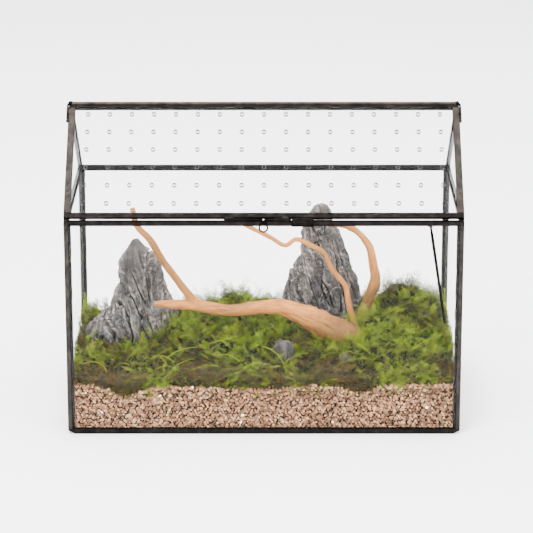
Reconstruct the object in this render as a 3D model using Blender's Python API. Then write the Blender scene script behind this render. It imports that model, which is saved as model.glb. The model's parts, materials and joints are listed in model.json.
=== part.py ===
"""A house-shaped glass pet vivarium: a came-framed tank with a hinged, perforated roof lid.

Frame of the model: origin at the centre of the underside, +X to the right, +Y to the back,
+Z up.  The roof's front slope is the lid.  It turns on a wire that runs through the ridge
tube.  A sliding wire bolt locks it to the front rail, and a wire stay props it open.
"""
import math

import bmesh
import bpy
from mathutils import Matrix, Vector

MM = 0.001

# Driving dimensions of the tank
WIDTH = 400 * MM
DEPTH = 220 * MM
EAVE_Z = 226 * MM
HINGE_Z = 319.8 * MM
GAP = 0.3 * MM

# Frame bars
POST = 4.6 * MM
BASE_BAR_WIDTH = 6.0 * MM
BASE_BAR_HEIGHT = 5.6 * MM
BASE_CHAMFER_X = 7.0 * MM
BASE_CHAMFER_Z = 3.4 * MM
RAIL_HEIGHT = 5.0 * MM
RAIL_DEPTH = 5.0 * MM
REAR_RAIL_DEPTH = 7.5 * MM
RAKE_TOP = 2.6 * MM        # hinge axis to the rakes' upper face, square to the slope
RAKE_THICKNESS = 4.0 * MM
RIDGE_BAR_END = 6.5 * MM   # down the rear slope, from the hinge axis
RIDGE_BAR_THICKNESS = 1.8 * MM
ROOF_PANE_END = 138.0 * MM
ROOF_PANE_LIFT = 0.5 * MM   # pane above the underside of the rakes

# Glass
GLASS = 3.0 * MM
GLASS_RECESS = 0.8 * MM
SEALANT_LEG = 2.4 * MM

# Lid
LID_FOOT_Y = 109.2 * MM    # lower end of the lid's middle plane, in front of the ridge
LID_FOOT_Z = 229.0 * MM
LID_THICKNESS = 4.0 * MM
LID_TOP_START = 3.0 * MM   # hinge axis to the upper edge of the lid
LID_TOP_BAR = 2.6 * MM
LID_SIDE_BAR = 7.0 * MM
LID_BOTTOM_BAR = 5.8 * MM
HOLE_COLUMNS = 17
HOLE_ROWS = 6
HOLE_PITCH_X = 22.5 * MM
HOLE_PITCH_Y = 22.6 * MM
HOLE_FIRST_ROW = 13.9 * MM  # hinge axis to the top row of holes
HOLE_RADIUS = 1.9 * MM
HOLE_SIDES = 8

# Ridge hinge
RIDGE_TUBE_RADIUS = 2.2 * MM
RIDGE_TUBE_BORE = 1.35 * MM
RIDGE_TUBE_HALF = 198.5 * MM
HINGE_WIRE_RADIUS = 1.0 * MM
HINGE_LEG_LENGTH = 24.0 * MM

# Latch
BOLT_RADIUS = 0.7 * MM
LATCH_TUBE_RADIUS = 1.9 * MM
LATCH_TUBE_BORE = 1.05 * MM
BOLT_FROM_LID_EDGE = 2.25 * MM
BOLT_ABOVE_LID_PLANE = 1.0 * MM
LEFT_TUBE_X = (-40.0 * MM, -16.9 * MM)
RIGHT_TUBE_X = (9.2 * MM, 27.2 * MM)
KEEPER_X = (27.6 * MM, 48.8 * MM)
KEEPER_FOOT_Z = 221.3 * MM
BOLT_X = (-38.5 * MM, 27.0 * MM)
LOOP_X = -0.5 * MM
LOOP_DROP = 8.6 * MM
LOOP_RADIUS = 4.2 * MM
LOOP_NECK = 0.95 * MM
NECK_SHOULDER = (2.1 * MM, 0.0)      # out from the neck, and down, where the wire turns in
NECK_BEND = (0.35 * MM, -0.35 * MM)
NECK_TOP = -1.2 * MM
NECK_FOOT = -3.9 * MM

# Stay
STAPLE_WIRE = 0.4 * MM
STAPLE_X = (163.5 * MM, 170.5 * MM)
STAPLE_FOOT = 4.0 * MM   # down the face of the rail
STAY_PIVOT = (167.0 * MM, -103.0 * MM, 217.8 * MM)
STAY_RADIUS = 0.9 * MM
STAY_EYE_RADIUS = 1.75 * MM
STAY_DROP = 101.0 * MM
STAY_LEAN = 16.0 * MM

# Planting
BED_TOP = 50.0 * MM
PLANT_FLOOR = 51.0 * MM
BED_HALF_X = 193.6 * MM
BED_HALF_Y = 103.6 * MM
BED_FRONT = (-70.0 * MM, 34.0 * MM)   # where the dips begin, and how fast they deepen
BED_DIPS = ((-142.0 * MM, 22.0 * MM, 13.0 * MM), (97.0 * MM, 20.0 * MM, 9.0 * MM),
            (-20.0 * MM, 70.0 * MM, 5.0 * MM))   # centre, half width and depth

# Worked out from the above
HALF_W = WIDTH / 2
HALF_D = DEPTH / 2
SLOPE = math.atan2(HINGE_Z - LID_FOOT_Z, LID_FOOT_Y)
LID_LENGTH = math.hypot(HINGE_Z - LID_FOOT_Z, LID_FOOT_Y)
PANE_OUT_X = HALF_W - GLASS_RECESS
PANE_IN_X = PANE_OUT_X - GLASS
PANE_OUT_Y = HALF_D - GLASS_RECESS
PANE_IN_Y = PANE_OUT_Y - GLASS
LEFT_RIGHT = (("left", -1), ("right", 1))


# ---------------------------------------------------------------- helpers

def clear_scene():
    for obj in list(bpy.data.objects):
        bpy.data.objects.remove(obj, do_unlink=True)


def make_material(name, color, roughness, metallic=0.0, alpha=1.0):
    mat = bpy.data.materials.new(name)
    mat.use_nodes = True
    shader = mat.node_tree.nodes["Principled BSDF"]
    shader.inputs["Base Color"].default_value = (*color, 1.0)
    shader.inputs["Roughness"].default_value = roughness
    shader.inputs["Metallic"].default_value = metallic
    shader.inputs["Alpha"].default_value = alpha
    return mat


def make_materials():
    return {
        "came": make_material("came", (0.16, 0.13, 0.10), 0.45, 1.0),
        "wire": make_material("wire", (0.12, 0.11, 0.10), 0.40, 1.0),
        "glass": make_material("glass", (0.86, 0.93, 0.90), 0.05, 0.0, 0.3),
        "sealant": make_material("sealant", (0.03, 0.03, 0.03), 0.6),
        "gravel": make_material("gravel", (0.62, 0.47, 0.36), 0.9),
        "stone": make_material("stone", (0.36, 0.38, 0.38), 0.85),
        "wood": make_material("wood", (0.55, 0.36, 0.24), 0.8),
        "moss": make_material("moss", (0.20, 0.30, 0.06), 0.95),
    }


def empty(name, location, slope=0.0):
    axis = bpy.data.objects.new(name, None)
    axis.location = location
    axis.rotation_euler = (slope, 0.0, 0.0)
    bpy.context.scene.collection.objects.link(axis)
    return axis


def add_object(name, bm, mat, parent=None, smooth=False):
    """Turn a bmesh into one named object, under its parent's frame if it has one."""
    bmesh.ops.recalc_face_normals(bm, faces=bm.faces)
    if bm.calc_volume(signed=True) < 0:
        bmesh.ops.reverse_faces(bm, faces=bm.faces)
    mesh = bpy.data.meshes.new(name)
    bm.to_mesh(mesh)
    bm.free()
    if smooth:
        mesh.shade_smooth()
        mesh.set_sharp_from_angle(angle=math.radians(40))
    mesh.materials.append(mat)
    obj = bpy.data.objects.new(name, mesh)
    obj.parent = parent
    bpy.context.scene.collection.objects.link(obj)
    return obj


def box(low, high):
    bm = bmesh.new()
    bmesh.ops.create_cube(bm, size=1.0)
    size = Vector(high) - Vector(low)
    middle = (Vector(high) + Vector(low)) / 2
    bmesh.ops.transform(bm, matrix=Matrix.Translation(middle) @ Matrix.Diagonal((*size, 1.0)),
                        verts=bm.verts)
    return bm


def prism(outline, start, end, place):
    """Extrude an outline; place turns (a, b, along) into a point."""
    bm = bmesh.new()
    near = [bm.verts.new(place(a, b, start)) for a, b in outline]
    far = [bm.verts.new(place(a, b, end)) for a, b in outline]
    bm.faces.new(near)
    bm.faces.new(far)
    count = len(outline)
    for i in range(count):
        j = (i + 1) % count
        bm.faces.new((near[i], near[j], far[j], far[i]))
    return bm


def prism_along_x(outline, x0, x1):
    return prism(outline, x0, x1, lambda y, z, x: (x, y, z))


def prism_along_y(outline, y0, y1):
    return prism(outline, y0, y1, lambda x, z, y: (x, y, z))


def skin(rings):
    """Join closed rings of points into one capped solid."""
    bm = bmesh.new()
    rows = [[bm.verts.new(point) for point in ring] for ring in rings]
    count = len(rows[0])
    for low, high in zip(rows, rows[1:]):
        for i in range(count):
            j = (i + 1) % count
            bm.faces.new((low[i], low[j], high[j], high[i]))
    bm.faces.new(rows[0])
    bm.faces.new(rows[-1])
    return bm


def sweep(points, radii, sides):
    """A round bar along a path, one radius for each point."""
    path = [Vector(point) for point in points]
    tangents = []
    for i, point in enumerate(path):
        before = path[max(i - 1, 0)]
        after = path[min(i + 1, len(path) - 1)]
        into = (point - before).normalized()
        out = (after - point).normalized()
        tangents.append((into + out).normalized())
    side = tangents[0].orthogonal().normalized()
    rings = []
    for point, tangent, radius in zip(path, tangents, radii):
        side = (side - tangent * side.dot(tangent)).normalized()
        up = tangent.cross(side)
        ring = []
        for k in range(sides):
            turn = 2 * math.pi * k / sides
            ring.append(point + radius * (math.cos(turn) * side + math.sin(turn) * up))
        rings.append(ring)
    return skin(rings)


def wire(points, radius, sides=8):
    return sweep(points, [radius] * len(points), sides)


def tube_along_x(x0, x1, y, z, outer, bore, sides=12):
    """A straight open tube."""
    bm = bmesh.new()
    loops = []
    for x, radius in ((x0, outer), (x1, outer), (x1, bore), (x0, bore)):
        loop = []
        for k in range(sides):
            turn = 2 * math.pi * k / sides
            loop.append(bm.verts.new((x, y + radius * math.cos(turn), z + radius * math.sin(turn))))
        loops.append(loop)
    for i in range(4):
        one, two = loops[i], loops[(i + 1) % 4]
        for k in range(sides):
            j = (k + 1) % sides
            bm.faces.new((one[k], one[j], two[j], two[k]))
    return bm


def arc(center_a, center_b, radius, start, end, steps):
    """Points of an arc, in degrees."""
    points = []
    for i in range(steps + 1):
        turn = math.radians(start + (end - start) * i / steps)
        points.append((center_a + radius * math.cos(turn), center_b + radius * math.sin(turn)))
    return points


# ---------------------------------------------------------------- tank frame

def build_base(mats):
    """Glass floor in four bars; the ends of the long bars are cut away below."""
    inner_x = HALF_W - BASE_BAR_WIDTH - GAP
    inner_y = HALF_D - BASE_BAR_WIDTH - GAP
    add_object("base_pane", box((-inner_x, -inner_y, 0), (inner_x, inner_y, GLASS)), mats["glass"])
    long_outline = [
        (-HALF_W + BASE_CHAMFER_X, 0), (HALF_W - BASE_CHAMFER_X, 0), (HALF_W, BASE_CHAMFER_Z),
        (HALF_W, BASE_BAR_HEIGHT), (-HALF_W, BASE_BAR_HEIGHT), (-HALF_W, BASE_CHAMFER_Z)]
    inner_edge = HALF_D - BASE_BAR_WIDTH
    add_object("base_bar_front", prism_along_y(long_outline, -HALF_D, -inner_edge), mats["came"])
    add_object("base_bar_rear", prism_along_y(long_outline, inner_edge, HALF_D), mats["came"])
    lift = BASE_CHAMFER_Z * (BASE_CHAMFER_X - BASE_BAR_WIDTH) / BASE_CHAMFER_X
    for side, sign in LEFT_RIGHT:
        outline = [
            (sign * (HALF_W - BASE_BAR_WIDTH), lift), (sign * HALF_W, BASE_CHAMFER_Z),
            (sign * HALF_W, BASE_BAR_HEIGHT), (sign * (HALF_W - BASE_BAR_WIDTH), BASE_BAR_HEIGHT)]
        bar = prism_along_y(outline, -inner_edge + GAP, inner_edge - GAP)
        add_object("base_bar_" + side, bar, mats["came"])


def build_posts(mats):
    z0 = BASE_BAR_HEIGHT + GAP
    z1 = EAVE_Z - RAIL_HEIGHT - GAP
    for side, sx in LEFT_RIGHT:
        for end, sy in (("front", -1), ("rear", 1)):
            x = sorted((sx * HALF_W, sx * (HALF_W - POST)))
            y = sorted((sy * HALF_D, sy * (HALF_D - POST)))
            add_object("post_%s_%s" % (end, side), box((x[0], y[0], z0), (x[1], y[1], z1)),
                       mats["came"])
            corner = (sx * (HALF_W - POST - GAP), sy * (HALF_D - POST - GAP))
            outline = [corner, (corner[0] - sx * SEALANT_LEG, corner[1]),
                       (corner[0], corner[1] - sy * SEALANT_LEG)]
            bead = prism(outline, z0, z1, lambda x, y, z: (x, y, z))
            add_object("sealant_%s_%s" % (end, side), bead, mats["sealant"])


def build_eaves(mats):
    low = EAVE_Z - RAIL_HEIGHT
    add_object("front_rail", box((-HALF_W, -HALF_D, low), (HALF_W, -HALF_D + RAIL_DEPTH, EAVE_Z)),
               mats["came"])
    add_object("rear_eave_bar",
               box((-HALF_W, HALF_D - REAR_RAIL_DEPTH, low), (HALF_W, HALF_D, EAVE_Z)), mats["came"])
    for side, sign in LEFT_RIGHT:
        x = sorted((sign * HALF_W, sign * (HALF_W - POST)))
        y0 = -HALF_D + RAIL_DEPTH + GAP
        y1 = HALF_D - REAR_RAIL_DEPTH - GAP
        bar = box((x[0], y0, EAVE_Z - RAIL_HEIGHT), (x[1], y1, EAVE_Z))
        add_object("side_eave_bar_" + side, bar, mats["came"])


def slope_line(offset, y):
    """Height of a line parallel to the roof, offset below the hinge axis, at distance y."""
    return HINGE_Z - offset / math.cos(SLOPE) - y * math.tan(SLOPE)


def slope_reach(offset, z):
    """Distance from the ridge at which that line comes down to height z."""
    return (HINGE_Z - offset / math.cos(SLOPE) - z) / math.tan(SLOPE)


def rear_roof_point(down, offset):
    """World Y and Z of a point on the rear slope: down it from the hinge, offset square to it."""
    return (down * math.cos(SLOPE) + offset * math.sin(SLOPE),
            HINGE_Z - down * math.sin(SLOPE) + offset * math.cos(SLOPE))


def build_rakes(mats):
    """Four sloping gable bars, mitred at the ridge and cut level at the eaves."""
    foot = EAVE_Z + GAP
    under = RAKE_TOP + RAKE_THICKNESS
    mitre = GAP / 2
    profile = [
        (mitre, slope_line(RAKE_TOP, mitre)), (slope_reach(RAKE_TOP, foot), foot),
        (slope_reach(under, foot), foot), (mitre, slope_line(under, mitre))]
    for side, sx in LEFT_RIGHT:
        x = sorted((sx * HALF_W, sx * (HALF_W - POST)))
        for end, sy in (("front", -1), ("rear", 1)):
            outline = [(sy * y, z) for y, z in profile]
            add_object("rake_%s_%s" % (end, side), prism_along_x(outline, x[0], x[1]), mats["came"])


def build_ridge(mats):
    tube = tube_along_x(-RIDGE_TUBE_HALF, RIDGE_TUBE_HALF, 0, HINGE_Z, RIDGE_TUBE_RADIUS,
                        RIDGE_TUBE_BORE)
    add_object("ridge_tube", tube, mats["came"], smooth=True)
    half = HALF_W - POST - GAP
    mitre = GAP / 2
    under = RAKE_TOP + RIDGE_BAR_THICKNESS
    low_edge = [rear_roof_point(RIDGE_BAR_END, -RAKE_TOP), rear_roof_point(RIDGE_BAR_END, -under)]
    outline = [(mitre, slope_line(RAKE_TOP, mitre))] + low_edge + [(mitre, slope_line(under, mitre))]
    add_object("ridge_bar", prism_along_x(outline, -half, half), mats["came"])


def build_panes(mats, rear_roof):
    wall_x = HALF_W - POST - GAP
    wall_y = HALF_D - POST - GAP
    z0 = BASE_BAR_HEIGHT + GAP
    z1 = EAVE_Z - RAIL_HEIGHT - GAP
    glass = mats["glass"]
    add_object("front_pane", box((-wall_x, -PANE_OUT_Y, z0), (wall_x, -PANE_IN_Y, z1)), glass)
    add_object("rear_pane", box((-wall_x, PANE_IN_Y, z0), (wall_x, PANE_OUT_Y, z1)), glass)
    foot = EAVE_Z + GAP
    under = RAKE_TOP + RAKE_THICKNESS + GAP
    reach = slope_reach(under, foot)
    gable = [(-reach, foot), (reach, foot), (0, slope_line(under, 0))]
    for side, sign in LEFT_RIGHT:
        x = sorted((sign * PANE_OUT_X, sign * PANE_IN_X))
        add_object(side + "_pane", box((x[0], -wall_y, z0), (x[1], wall_y, z1)), glass)
        add_object("gable_pane_" + side, prism_along_x(gable, x[0], x[1]), glass)
    low = -RAKE_TOP - RAKE_THICKNESS + ROOF_PANE_LIFT
    roof = box((-wall_x, RIDGE_BAR_END + GAP, low), (wall_x, ROOF_PANE_END, low + GLASS))
    add_object("rear_roof_pane", roof, glass, parent=rear_roof)


# ---------------------------------------------------------------- lid and its fittings

def perforated_pane(x_half, y0, y1, thickness):
    """A flat pane from y0 down to y1 with a regular grid of holes, one to a square cell."""
    bm = bmesh.new()
    x_lines = [-x_half]
    for i in range(HOLE_COLUMNS + 1):
        x_lines.append((i - HOLE_COLUMNS / 2) * HOLE_PITCH_X)
    x_lines.append(x_half)
    y_lines = [y0]
    for j in range(HOLE_ROWS):
        y_lines.append(-HOLE_FIRST_ROW - HOLE_PITCH_Y / 2 - j * HOLE_PITCH_Y)
    y_lines.append(y1)
    sheets = []
    for z in (thickness / 2, -thickness / 2):
        grid = [[bm.verts.new((x, y, z)) for x in x_lines] for y in y_lines]
        sheets.append(grid)
    rows, columns = len(y_lines), len(x_lines)
    for j in range(rows - 1):
        for i in range(columns - 1):
            hole = 1 <= i <= HOLE_COLUMNS and j < HOLE_ROWS
            corners = [[g[j][i], g[j][i + 1], g[j + 1][i + 1], g[j + 1][i]] for g in sheets]
            if not hole:
                bm.faces.new(corners[0])
                bm.faces.new(corners[1])
                continue
            x = (i - 1 - (HOLE_COLUMNS - 1) / 2) * HOLE_PITCH_X
            y = -HOLE_FIRST_ROW - j * HOLE_PITCH_Y
            rims = []
            for z in (thickness / 2, -thickness / 2):
                rim = []
                for k in range(HOLE_SIDES):
                    turn = math.pi * (112.5 - 360 * k / HOLE_SIDES) / 180
                    rim.append(bm.verts.new((x + HOLE_RADIUS * math.cos(turn),
                                             y + HOLE_RADIUS * math.sin(turn), z)))
                rims.append(rim)
            for rim, square in zip(rims, corners):
                for side in range(4):
                    a, b = rim[2 * side], rim[2 * side + 1]
                    c = rim[(2 * side + 2) % HOLE_SIDES]
                    near, far = square[side], square[(side + 1) % 4]
                    bm.faces.new((near, far, b, a))
                    bm.faces.new((far, c, b))
            for k in range(HOLE_SIDES):
                m = (k + 1) % HOLE_SIDES
                bm.faces.new((rims[0][k], rims[0][m], rims[1][m], rims[1][k]))
    top, bottom = sheets
    for i in range(columns - 1):
        bm.faces.new((top[0][i], top[0][i + 1], bottom[0][i + 1], bottom[0][i]))
        bm.faces.new((top[-1][i], top[-1][i + 1], bottom[-1][i + 1], bottom[-1][i]))
    for j in range(rows - 1):
        bm.faces.new((top[j][0], top[j + 1][0], bottom[j + 1][0], bottom[j][0]))
        bm.faces.new((top[j][-1], top[j + 1][-1], bottom[j + 1][-1], bottom[j][-1]))
    return bm


def build_lid(mats, lid_axis):
    """The lid in its own flat frame: -Y runs down the slope from the hinge."""
    half_t = LID_THICKNESS / 2
    y_top = -LID_TOP_START
    y_low = -LID_LENGTH
    came = mats["came"]
    top_bar = box((-HALF_W, y_top - LID_TOP_BAR, -half_t), (HALF_W, y_top, half_t))
    add_object("lid_bar_top", top_bar, came, parent=lid_axis)
    bottom_bar = box((-HALF_W, y_low, -half_t), (HALF_W, y_low + LID_BOTTOM_BAR, half_t))
    add_object("lid_bar_bottom", bottom_bar, came, parent=lid_axis)
    y_side_top = y_top - LID_TOP_BAR - GAP
    y_side_low = y_low + LID_BOTTOM_BAR + GAP
    for side, sign in LEFT_RIGHT:
        x = sorted((sign * HALF_W, sign * (HALF_W - LID_SIDE_BAR)))
        bar = box((x[0], y_side_low, -half_t), (x[1], y_side_top, half_t))
        add_object("lid_bar_" + side, bar, came, parent=lid_axis)
    pane = perforated_pane(HALF_W - LID_SIDE_BAR - GAP, y_side_top, y_side_low, GLASS)
    add_object("lid_pane", pane, mats["glass"], parent=lid_axis)


def build_hinge_rod(mats, lid_axis):
    """A wire through the ridge tube, its ends bent down along the lid's sides."""
    out = HALF_W + GAP + HINGE_WIRE_RADIUS
    bend = 1.5 * MM
    leg = [(out, -HINGE_LEG_LENGTH, 0), (out, -bend, 0), (out - 0.45 * MM, -0.45 * MM, 0),
           (out - bend, 0, 0)]
    points = [(-x, y, z) for x, y, z in leg] + leg[::-1]
    add_object("hinge_rod", wire(points, HINGE_WIRE_RADIUS, 10), mats["wire"], parent=lid_axis,
               smooth=True)


def bolt_line():
    """World Y and Z of the latch bolt's axis."""
    reach = LID_LENGTH + BOLT_FROM_LID_EDGE
    y = -reach * math.cos(SLOPE) - BOLT_ABOVE_LID_PLANE * math.sin(SLOPE)
    z = HINGE_Z - reach * math.sin(SLOPE) + BOLT_ABOVE_LID_PLANE * math.cos(SLOPE)
    return y, z


def build_latch(mats):
    y, z = bolt_line()
    axis = empty("bolt_axis", (0, y, z))
    for side, span in (("left", LEFT_TUBE_X), ("right", RIGHT_TUBE_X)):
        tube = tube_along_x(span[0], span[1], 0, 0, LATCH_TUBE_RADIUS, LATCH_TUBE_BORE, 10)
        add_object("latch_tube_" + side, tube, mats["came"], parent=axis, smooth=True)
    half = [(LOOP_NECK + NECK_SHOULDER[0], NECK_SHOULDER[1]),
            (LOOP_NECK + NECK_BEND[0], NECK_BEND[1]), (LOOP_NECK, NECK_TOP), (LOOP_NECK, NECK_FOOT)]
    opening = math.degrees(math.asin(LOOP_NECK / LOOP_RADIUS))
    loop = arc(LOOP_X, -LOOP_DROP, LOOP_RADIUS, 90 + opening, 450 - opening, 16)
    path = [(BOLT_X[0], 0)]
    path += [(LOOP_X - x, drop) for x, drop in half]
    path += loop
    path += [(LOOP_X + x, drop) for x, drop in half[::-1]]
    path.append((BOLT_X[1], 0))
    add_object("latch_bolt", wire([(x, 0, drop) for x, drop in path], BOLT_RADIUS, 8),
               mats["wire"], parent=axis, smooth=True)
    build_keeper(mats, y, z)


def build_keeper(mats, y, z):
    """A drilled block on the rail: a leg down the rail's face under a round eye."""
    back = -HALF_D - GAP
    outline = [(back, KEEPER_FOOT_Z), (y - LATCH_TUBE_RADIUS, KEEPER_FOOT_Z)]
    outline += arc(y, z, LATCH_TUBE_RADIUS, 180, -50, 12)
    keeper = add_object("latch_keeper", prism_along_x(outline, *KEEPER_X), mats["came"])
    drill_bm = prism_along_x(arc(y, z, LATCH_TUBE_BORE, 0, 324, 9), KEEPER_X[0] - MM,
                             KEEPER_X[1] + MM)
    drill = add_object("keeper_drill", drill_bm, mats["came"])
    drill.hide_render = True
    drill.display_type = "WIRE"
    cut = keeper.modifiers.new("bolt_hole", "BOOLEAN")
    cut.operation = "DIFFERENCE"
    cut.object = drill


def build_stay(mats):
    """A staple over the front rail and the prop wire that hangs from it inside the tank."""
    x0, x1 = STAPLE_X
    front = -HALF_D - GAP - STAPLE_WIRE
    over = EAVE_Z + GAP + STAPLE_WIRE
    pivot_y, pivot_z = STAY_PIVOT[1], STAY_PIVOT[2]
    foot = EAVE_Z - STAPLE_FOOT
    one_side = [(front, foot), (front, over), (pivot_y, over), (pivot_y, pivot_z)]
    points = [(x0, y, z) for y, z in one_side]
    points += [(x1, y, z) for y, z in one_side[::-1]]
    add_object("stay_staple", wire(points, STAPLE_WIRE, 6), mats["wire"], smooth=True)
    axis = empty("stay_axis", STAY_PIVOT)
    eye = arc(0, 0, STAY_EYE_RADIUS, -60, 180, 10)
    path = [(0, y, z) for y, z in eye]
    path.append((STAY_LEAN, -STAY_EYE_RADIUS, -STAY_DROP))
    add_object("stay_rod", wire(path, STAY_RADIUS, 8), mats["wire"], parent=axis, smooth=True)


# ---------------------------------------------------------------- planting

def bed_height(x, y):
    """Top of the gravel: level inside, uneven along the front glass."""
    front = max(0.0, min(1.0, (BED_FRONT[0] - y) / BED_FRONT[1]))
    dip = sum(depth * math.exp(-((x - middle) / half) ** 2) for middle, half, depth in BED_DIPS)
    return BED_TOP - front * dip


def build_gravel(mats):
    columns, rows = 24, 8
    bm = bmesh.new()
    grid = []
    for j in range(rows + 1):
        y = -BED_HALF_Y + 2 * BED_HALF_Y * j / rows
        line = []
        for i in range(columns + 1):
            x = -BED_HALF_X + 2 * BED_HALF_X * i / columns
            line.append(bm.verts.new((x, y, bed_height(x, y))))
        grid.append(line)
    for j in range(rows):
        for i in range(columns):
            bm.faces.new((grid[j][i], grid[j][i + 1], grid[j + 1][i + 1], grid[j + 1][i]))
    rim = grid[0][:-1] + [row[-1] for row in grid[:-1]]
    rim += grid[-1][:0:-1] + [row[0] for row in grid[:0:-1]]
    floor = [bm.verts.new((v.co.x, v.co.y, GLASS + GAP)) for v in rim]
    for i in range(len(rim)):
        j = (i + 1) % len(rim)
        bm.faces.new((rim[i], rim[j], floor[j], floor[i]))
    bm.faces.new(floor)
    add_object("gravel_bed", bm, mats["gravel"])


def standing_stone(sections, sides=10):
    """Rings of (height, centre x, centre y, half width, half depth), in millimetres."""
    rings = []
    for n, (z, cx, cy, hx, hy) in enumerate(sections):
        ring = []
        for k in range(sides):
            turn = 2 * math.pi * k / sides
            rough = 1.0 - 0.06 * math.sin(3 * turn + 1.7 * n)
            ring.append(((cx + hx * rough * math.cos(turn)) * MM,
                         (cy + hy * rough * math.sin(turn)) * MM, z * MM))
        rings.append(ring)
    return skin(rings)


def pebble(center, radii, sides=8, rings=4):
    """A small rounded stone, in millimetres."""
    levels = []
    for n in range(rings + 1):
        lift = math.pi * (0.08 + 0.84 * n / rings) - math.pi / 2
        ring = []
        for k in range(sides):
            turn = 2 * math.pi * k / sides + 0.2 * n
            ring.append(((center[0] + radii[0] * math.cos(lift) * math.cos(turn)) * MM,
                         (center[1] + radii[1] * math.cos(lift) * math.sin(turn)) * MM,
                         (center[2] + radii[2] * math.sin(lift)) * MM))
        levels.append(ring)
    return skin(levels)


def build_stones(mats):
    floor = PLANT_FLOOR / MM
    left = [(floor, -133, 24, 48, 33), (91, -128, 24, 37, 27), (116, -128.5, 23, 24.5, 19),
            (147, -131.5, 21, 16.5, 13), (160, -134, 20, 8, 7), (170, -134, 20, 3, 3)]
    right = [(floor, 62, 46, 48, 31), (90, 64, 46, 44, 27), (119, 62, 44, 37, 24),
             (140, 62, 42, 27, 19), (166, 62.5, 41, 20, 15), (177, 58, 40, 17.5, 12),
             (202, 60.5, 40, 7, 5)]
    add_object("stone_left", standing_stone(left), mats["stone"])
    add_object("stone_right", standing_stone(right), mats["stone"])
    add_object("stone_small_front", pebble((20, -50, 70), (13, 9, 13)), mats["stone"])
    add_object("stone_small_right", pebble((84, -62, 63), (12, 8, 8)), mats["stone"])
    add_object("stone_small_middle", pebble((70, 3, 91), (12, 6.5, 9)), mats["stone"])


def branch(points):
    """Rows of (x, y, z, radius), in millimetres."""
    path = [(x * MM, y * MM, z * MM) for x, y, z, _ in points]
    return sweep(path, [radius * MM for _, _, _, radius in points], 8)


def build_driftwood(mats):
    trunk = [(-114, -27, 113, 2.5), (-75, -26, 111, 5), (-34, -25, 105, 5.5), (6, -25, 109, 6),
             (37, -25, 102, 9), (68, -25, 86, 12), (98, -25, 72, 12.5)]
    left = [(-77, -25, 121, 3.2), (-90, -24, 138, 3.2), (-106, -22, 160, 3), (-118, -20, 180, 2.8),
            (-131, -18, 194, 2.8), (-136, -16, 213, 2.4)]
    middle = [(95, -8, 83, 2.5), (88, -8, 110, 2.5), (85, -8, 126, 2.4), (71, -8, 145, 2.3),
              (63, -8, 162, 2.2), (52, -8, 169, 2.2), (34, -8, 177, 2.1), (22, -8, 170.5, 2),
              (7, -8, 179, 2), (-22, -6, 193.5, 1.8), (-40, -4, 203, 1.2)]
    right = [(107, 5, 99, 5), (116, 5, 127, 4.8), (115, 5, 143, 4.2), (109, 5, 167, 3.4),
             (91, 5, 186, 2.8), (68, 5, 190, 2.4), (37, 5, 188, 1.5)]
    for name, points in (("trunk", trunk), ("branch_left", left), ("branch_middle", middle),
                         ("branch_right", right)):
        add_object("driftwood_" + name, branch(points), mats["wood"], smooth=True)


def moss_mound(cx, cy, hx, hy, height, sides=12, rings=4):
    """A dome standing on the planting floor, in millimetres."""
    floor = PLANT_FLOOR / MM
    levels = []
    for n in range(rings + 1):
        lift = math.radians(82) * n / rings
        ring = []
        for k in range(sides):
            turn = 2 * math.pi * k / sides
            ring.append(((cx + hx * math.cos(lift) * math.cos(turn)) * MM,
                         (cy + hy * math.cos(lift) * math.sin(turn)) * MM,
                         (floor + height * math.sin(lift)) * MM))
        levels.append(ring)
    return skin(levels)


def build_moss(mats):
    mounds = {
        "front_left": (-133, -67, 52, 34, 26),
        "front_middle": (-38, -70, 38, 30, 24),
        "front_center": (52, -84, 21, 15, 14),
        "front_right": (140, -66, 42, 34, 30),
        "rear_left": (-150, 80, 40, 20, 35),
        "rear_middle": (-28, 36, 37, 48, 58),
        "rear_right": (152, 45, 36, 52, 64),
    }
    for name, size in mounds.items():
        add_object("moss_" + name, moss_mound(*size), mats["moss"], smooth=True)


def main():
    clear_scene()
    mats = make_materials()
    lid_axis = empty("lid_axis", (0, 0, HINGE_Z), SLOPE)
    rear_roof = empty("rear_roof", (0, 0, HINGE_Z), -SLOPE)
    build_base(mats)
    build_posts(mats)
    build_eaves(mats)
    build_rakes(mats)
    build_ridge(mats)
    build_panes(mats, rear_roof)
    build_lid(mats, lid_axis)
    build_hinge_rod(mats, lid_axis)
    build_latch(mats)
    build_stay(mats)
    build_gravel(mats)
    build_stones(mats)
    build_driftwood(mats)
    build_moss(mats)


main()
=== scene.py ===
"""The looks of the glass vivarium: worn came, clear panes, gravel, moss, stones and driftwood.

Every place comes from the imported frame.  Lengths are metres, unless a table says millimetres.
"""

import json
import math
import random

import bmesh
import bpy
import numpy as np
from mathutils import Matrix, Vector, noise


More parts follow.
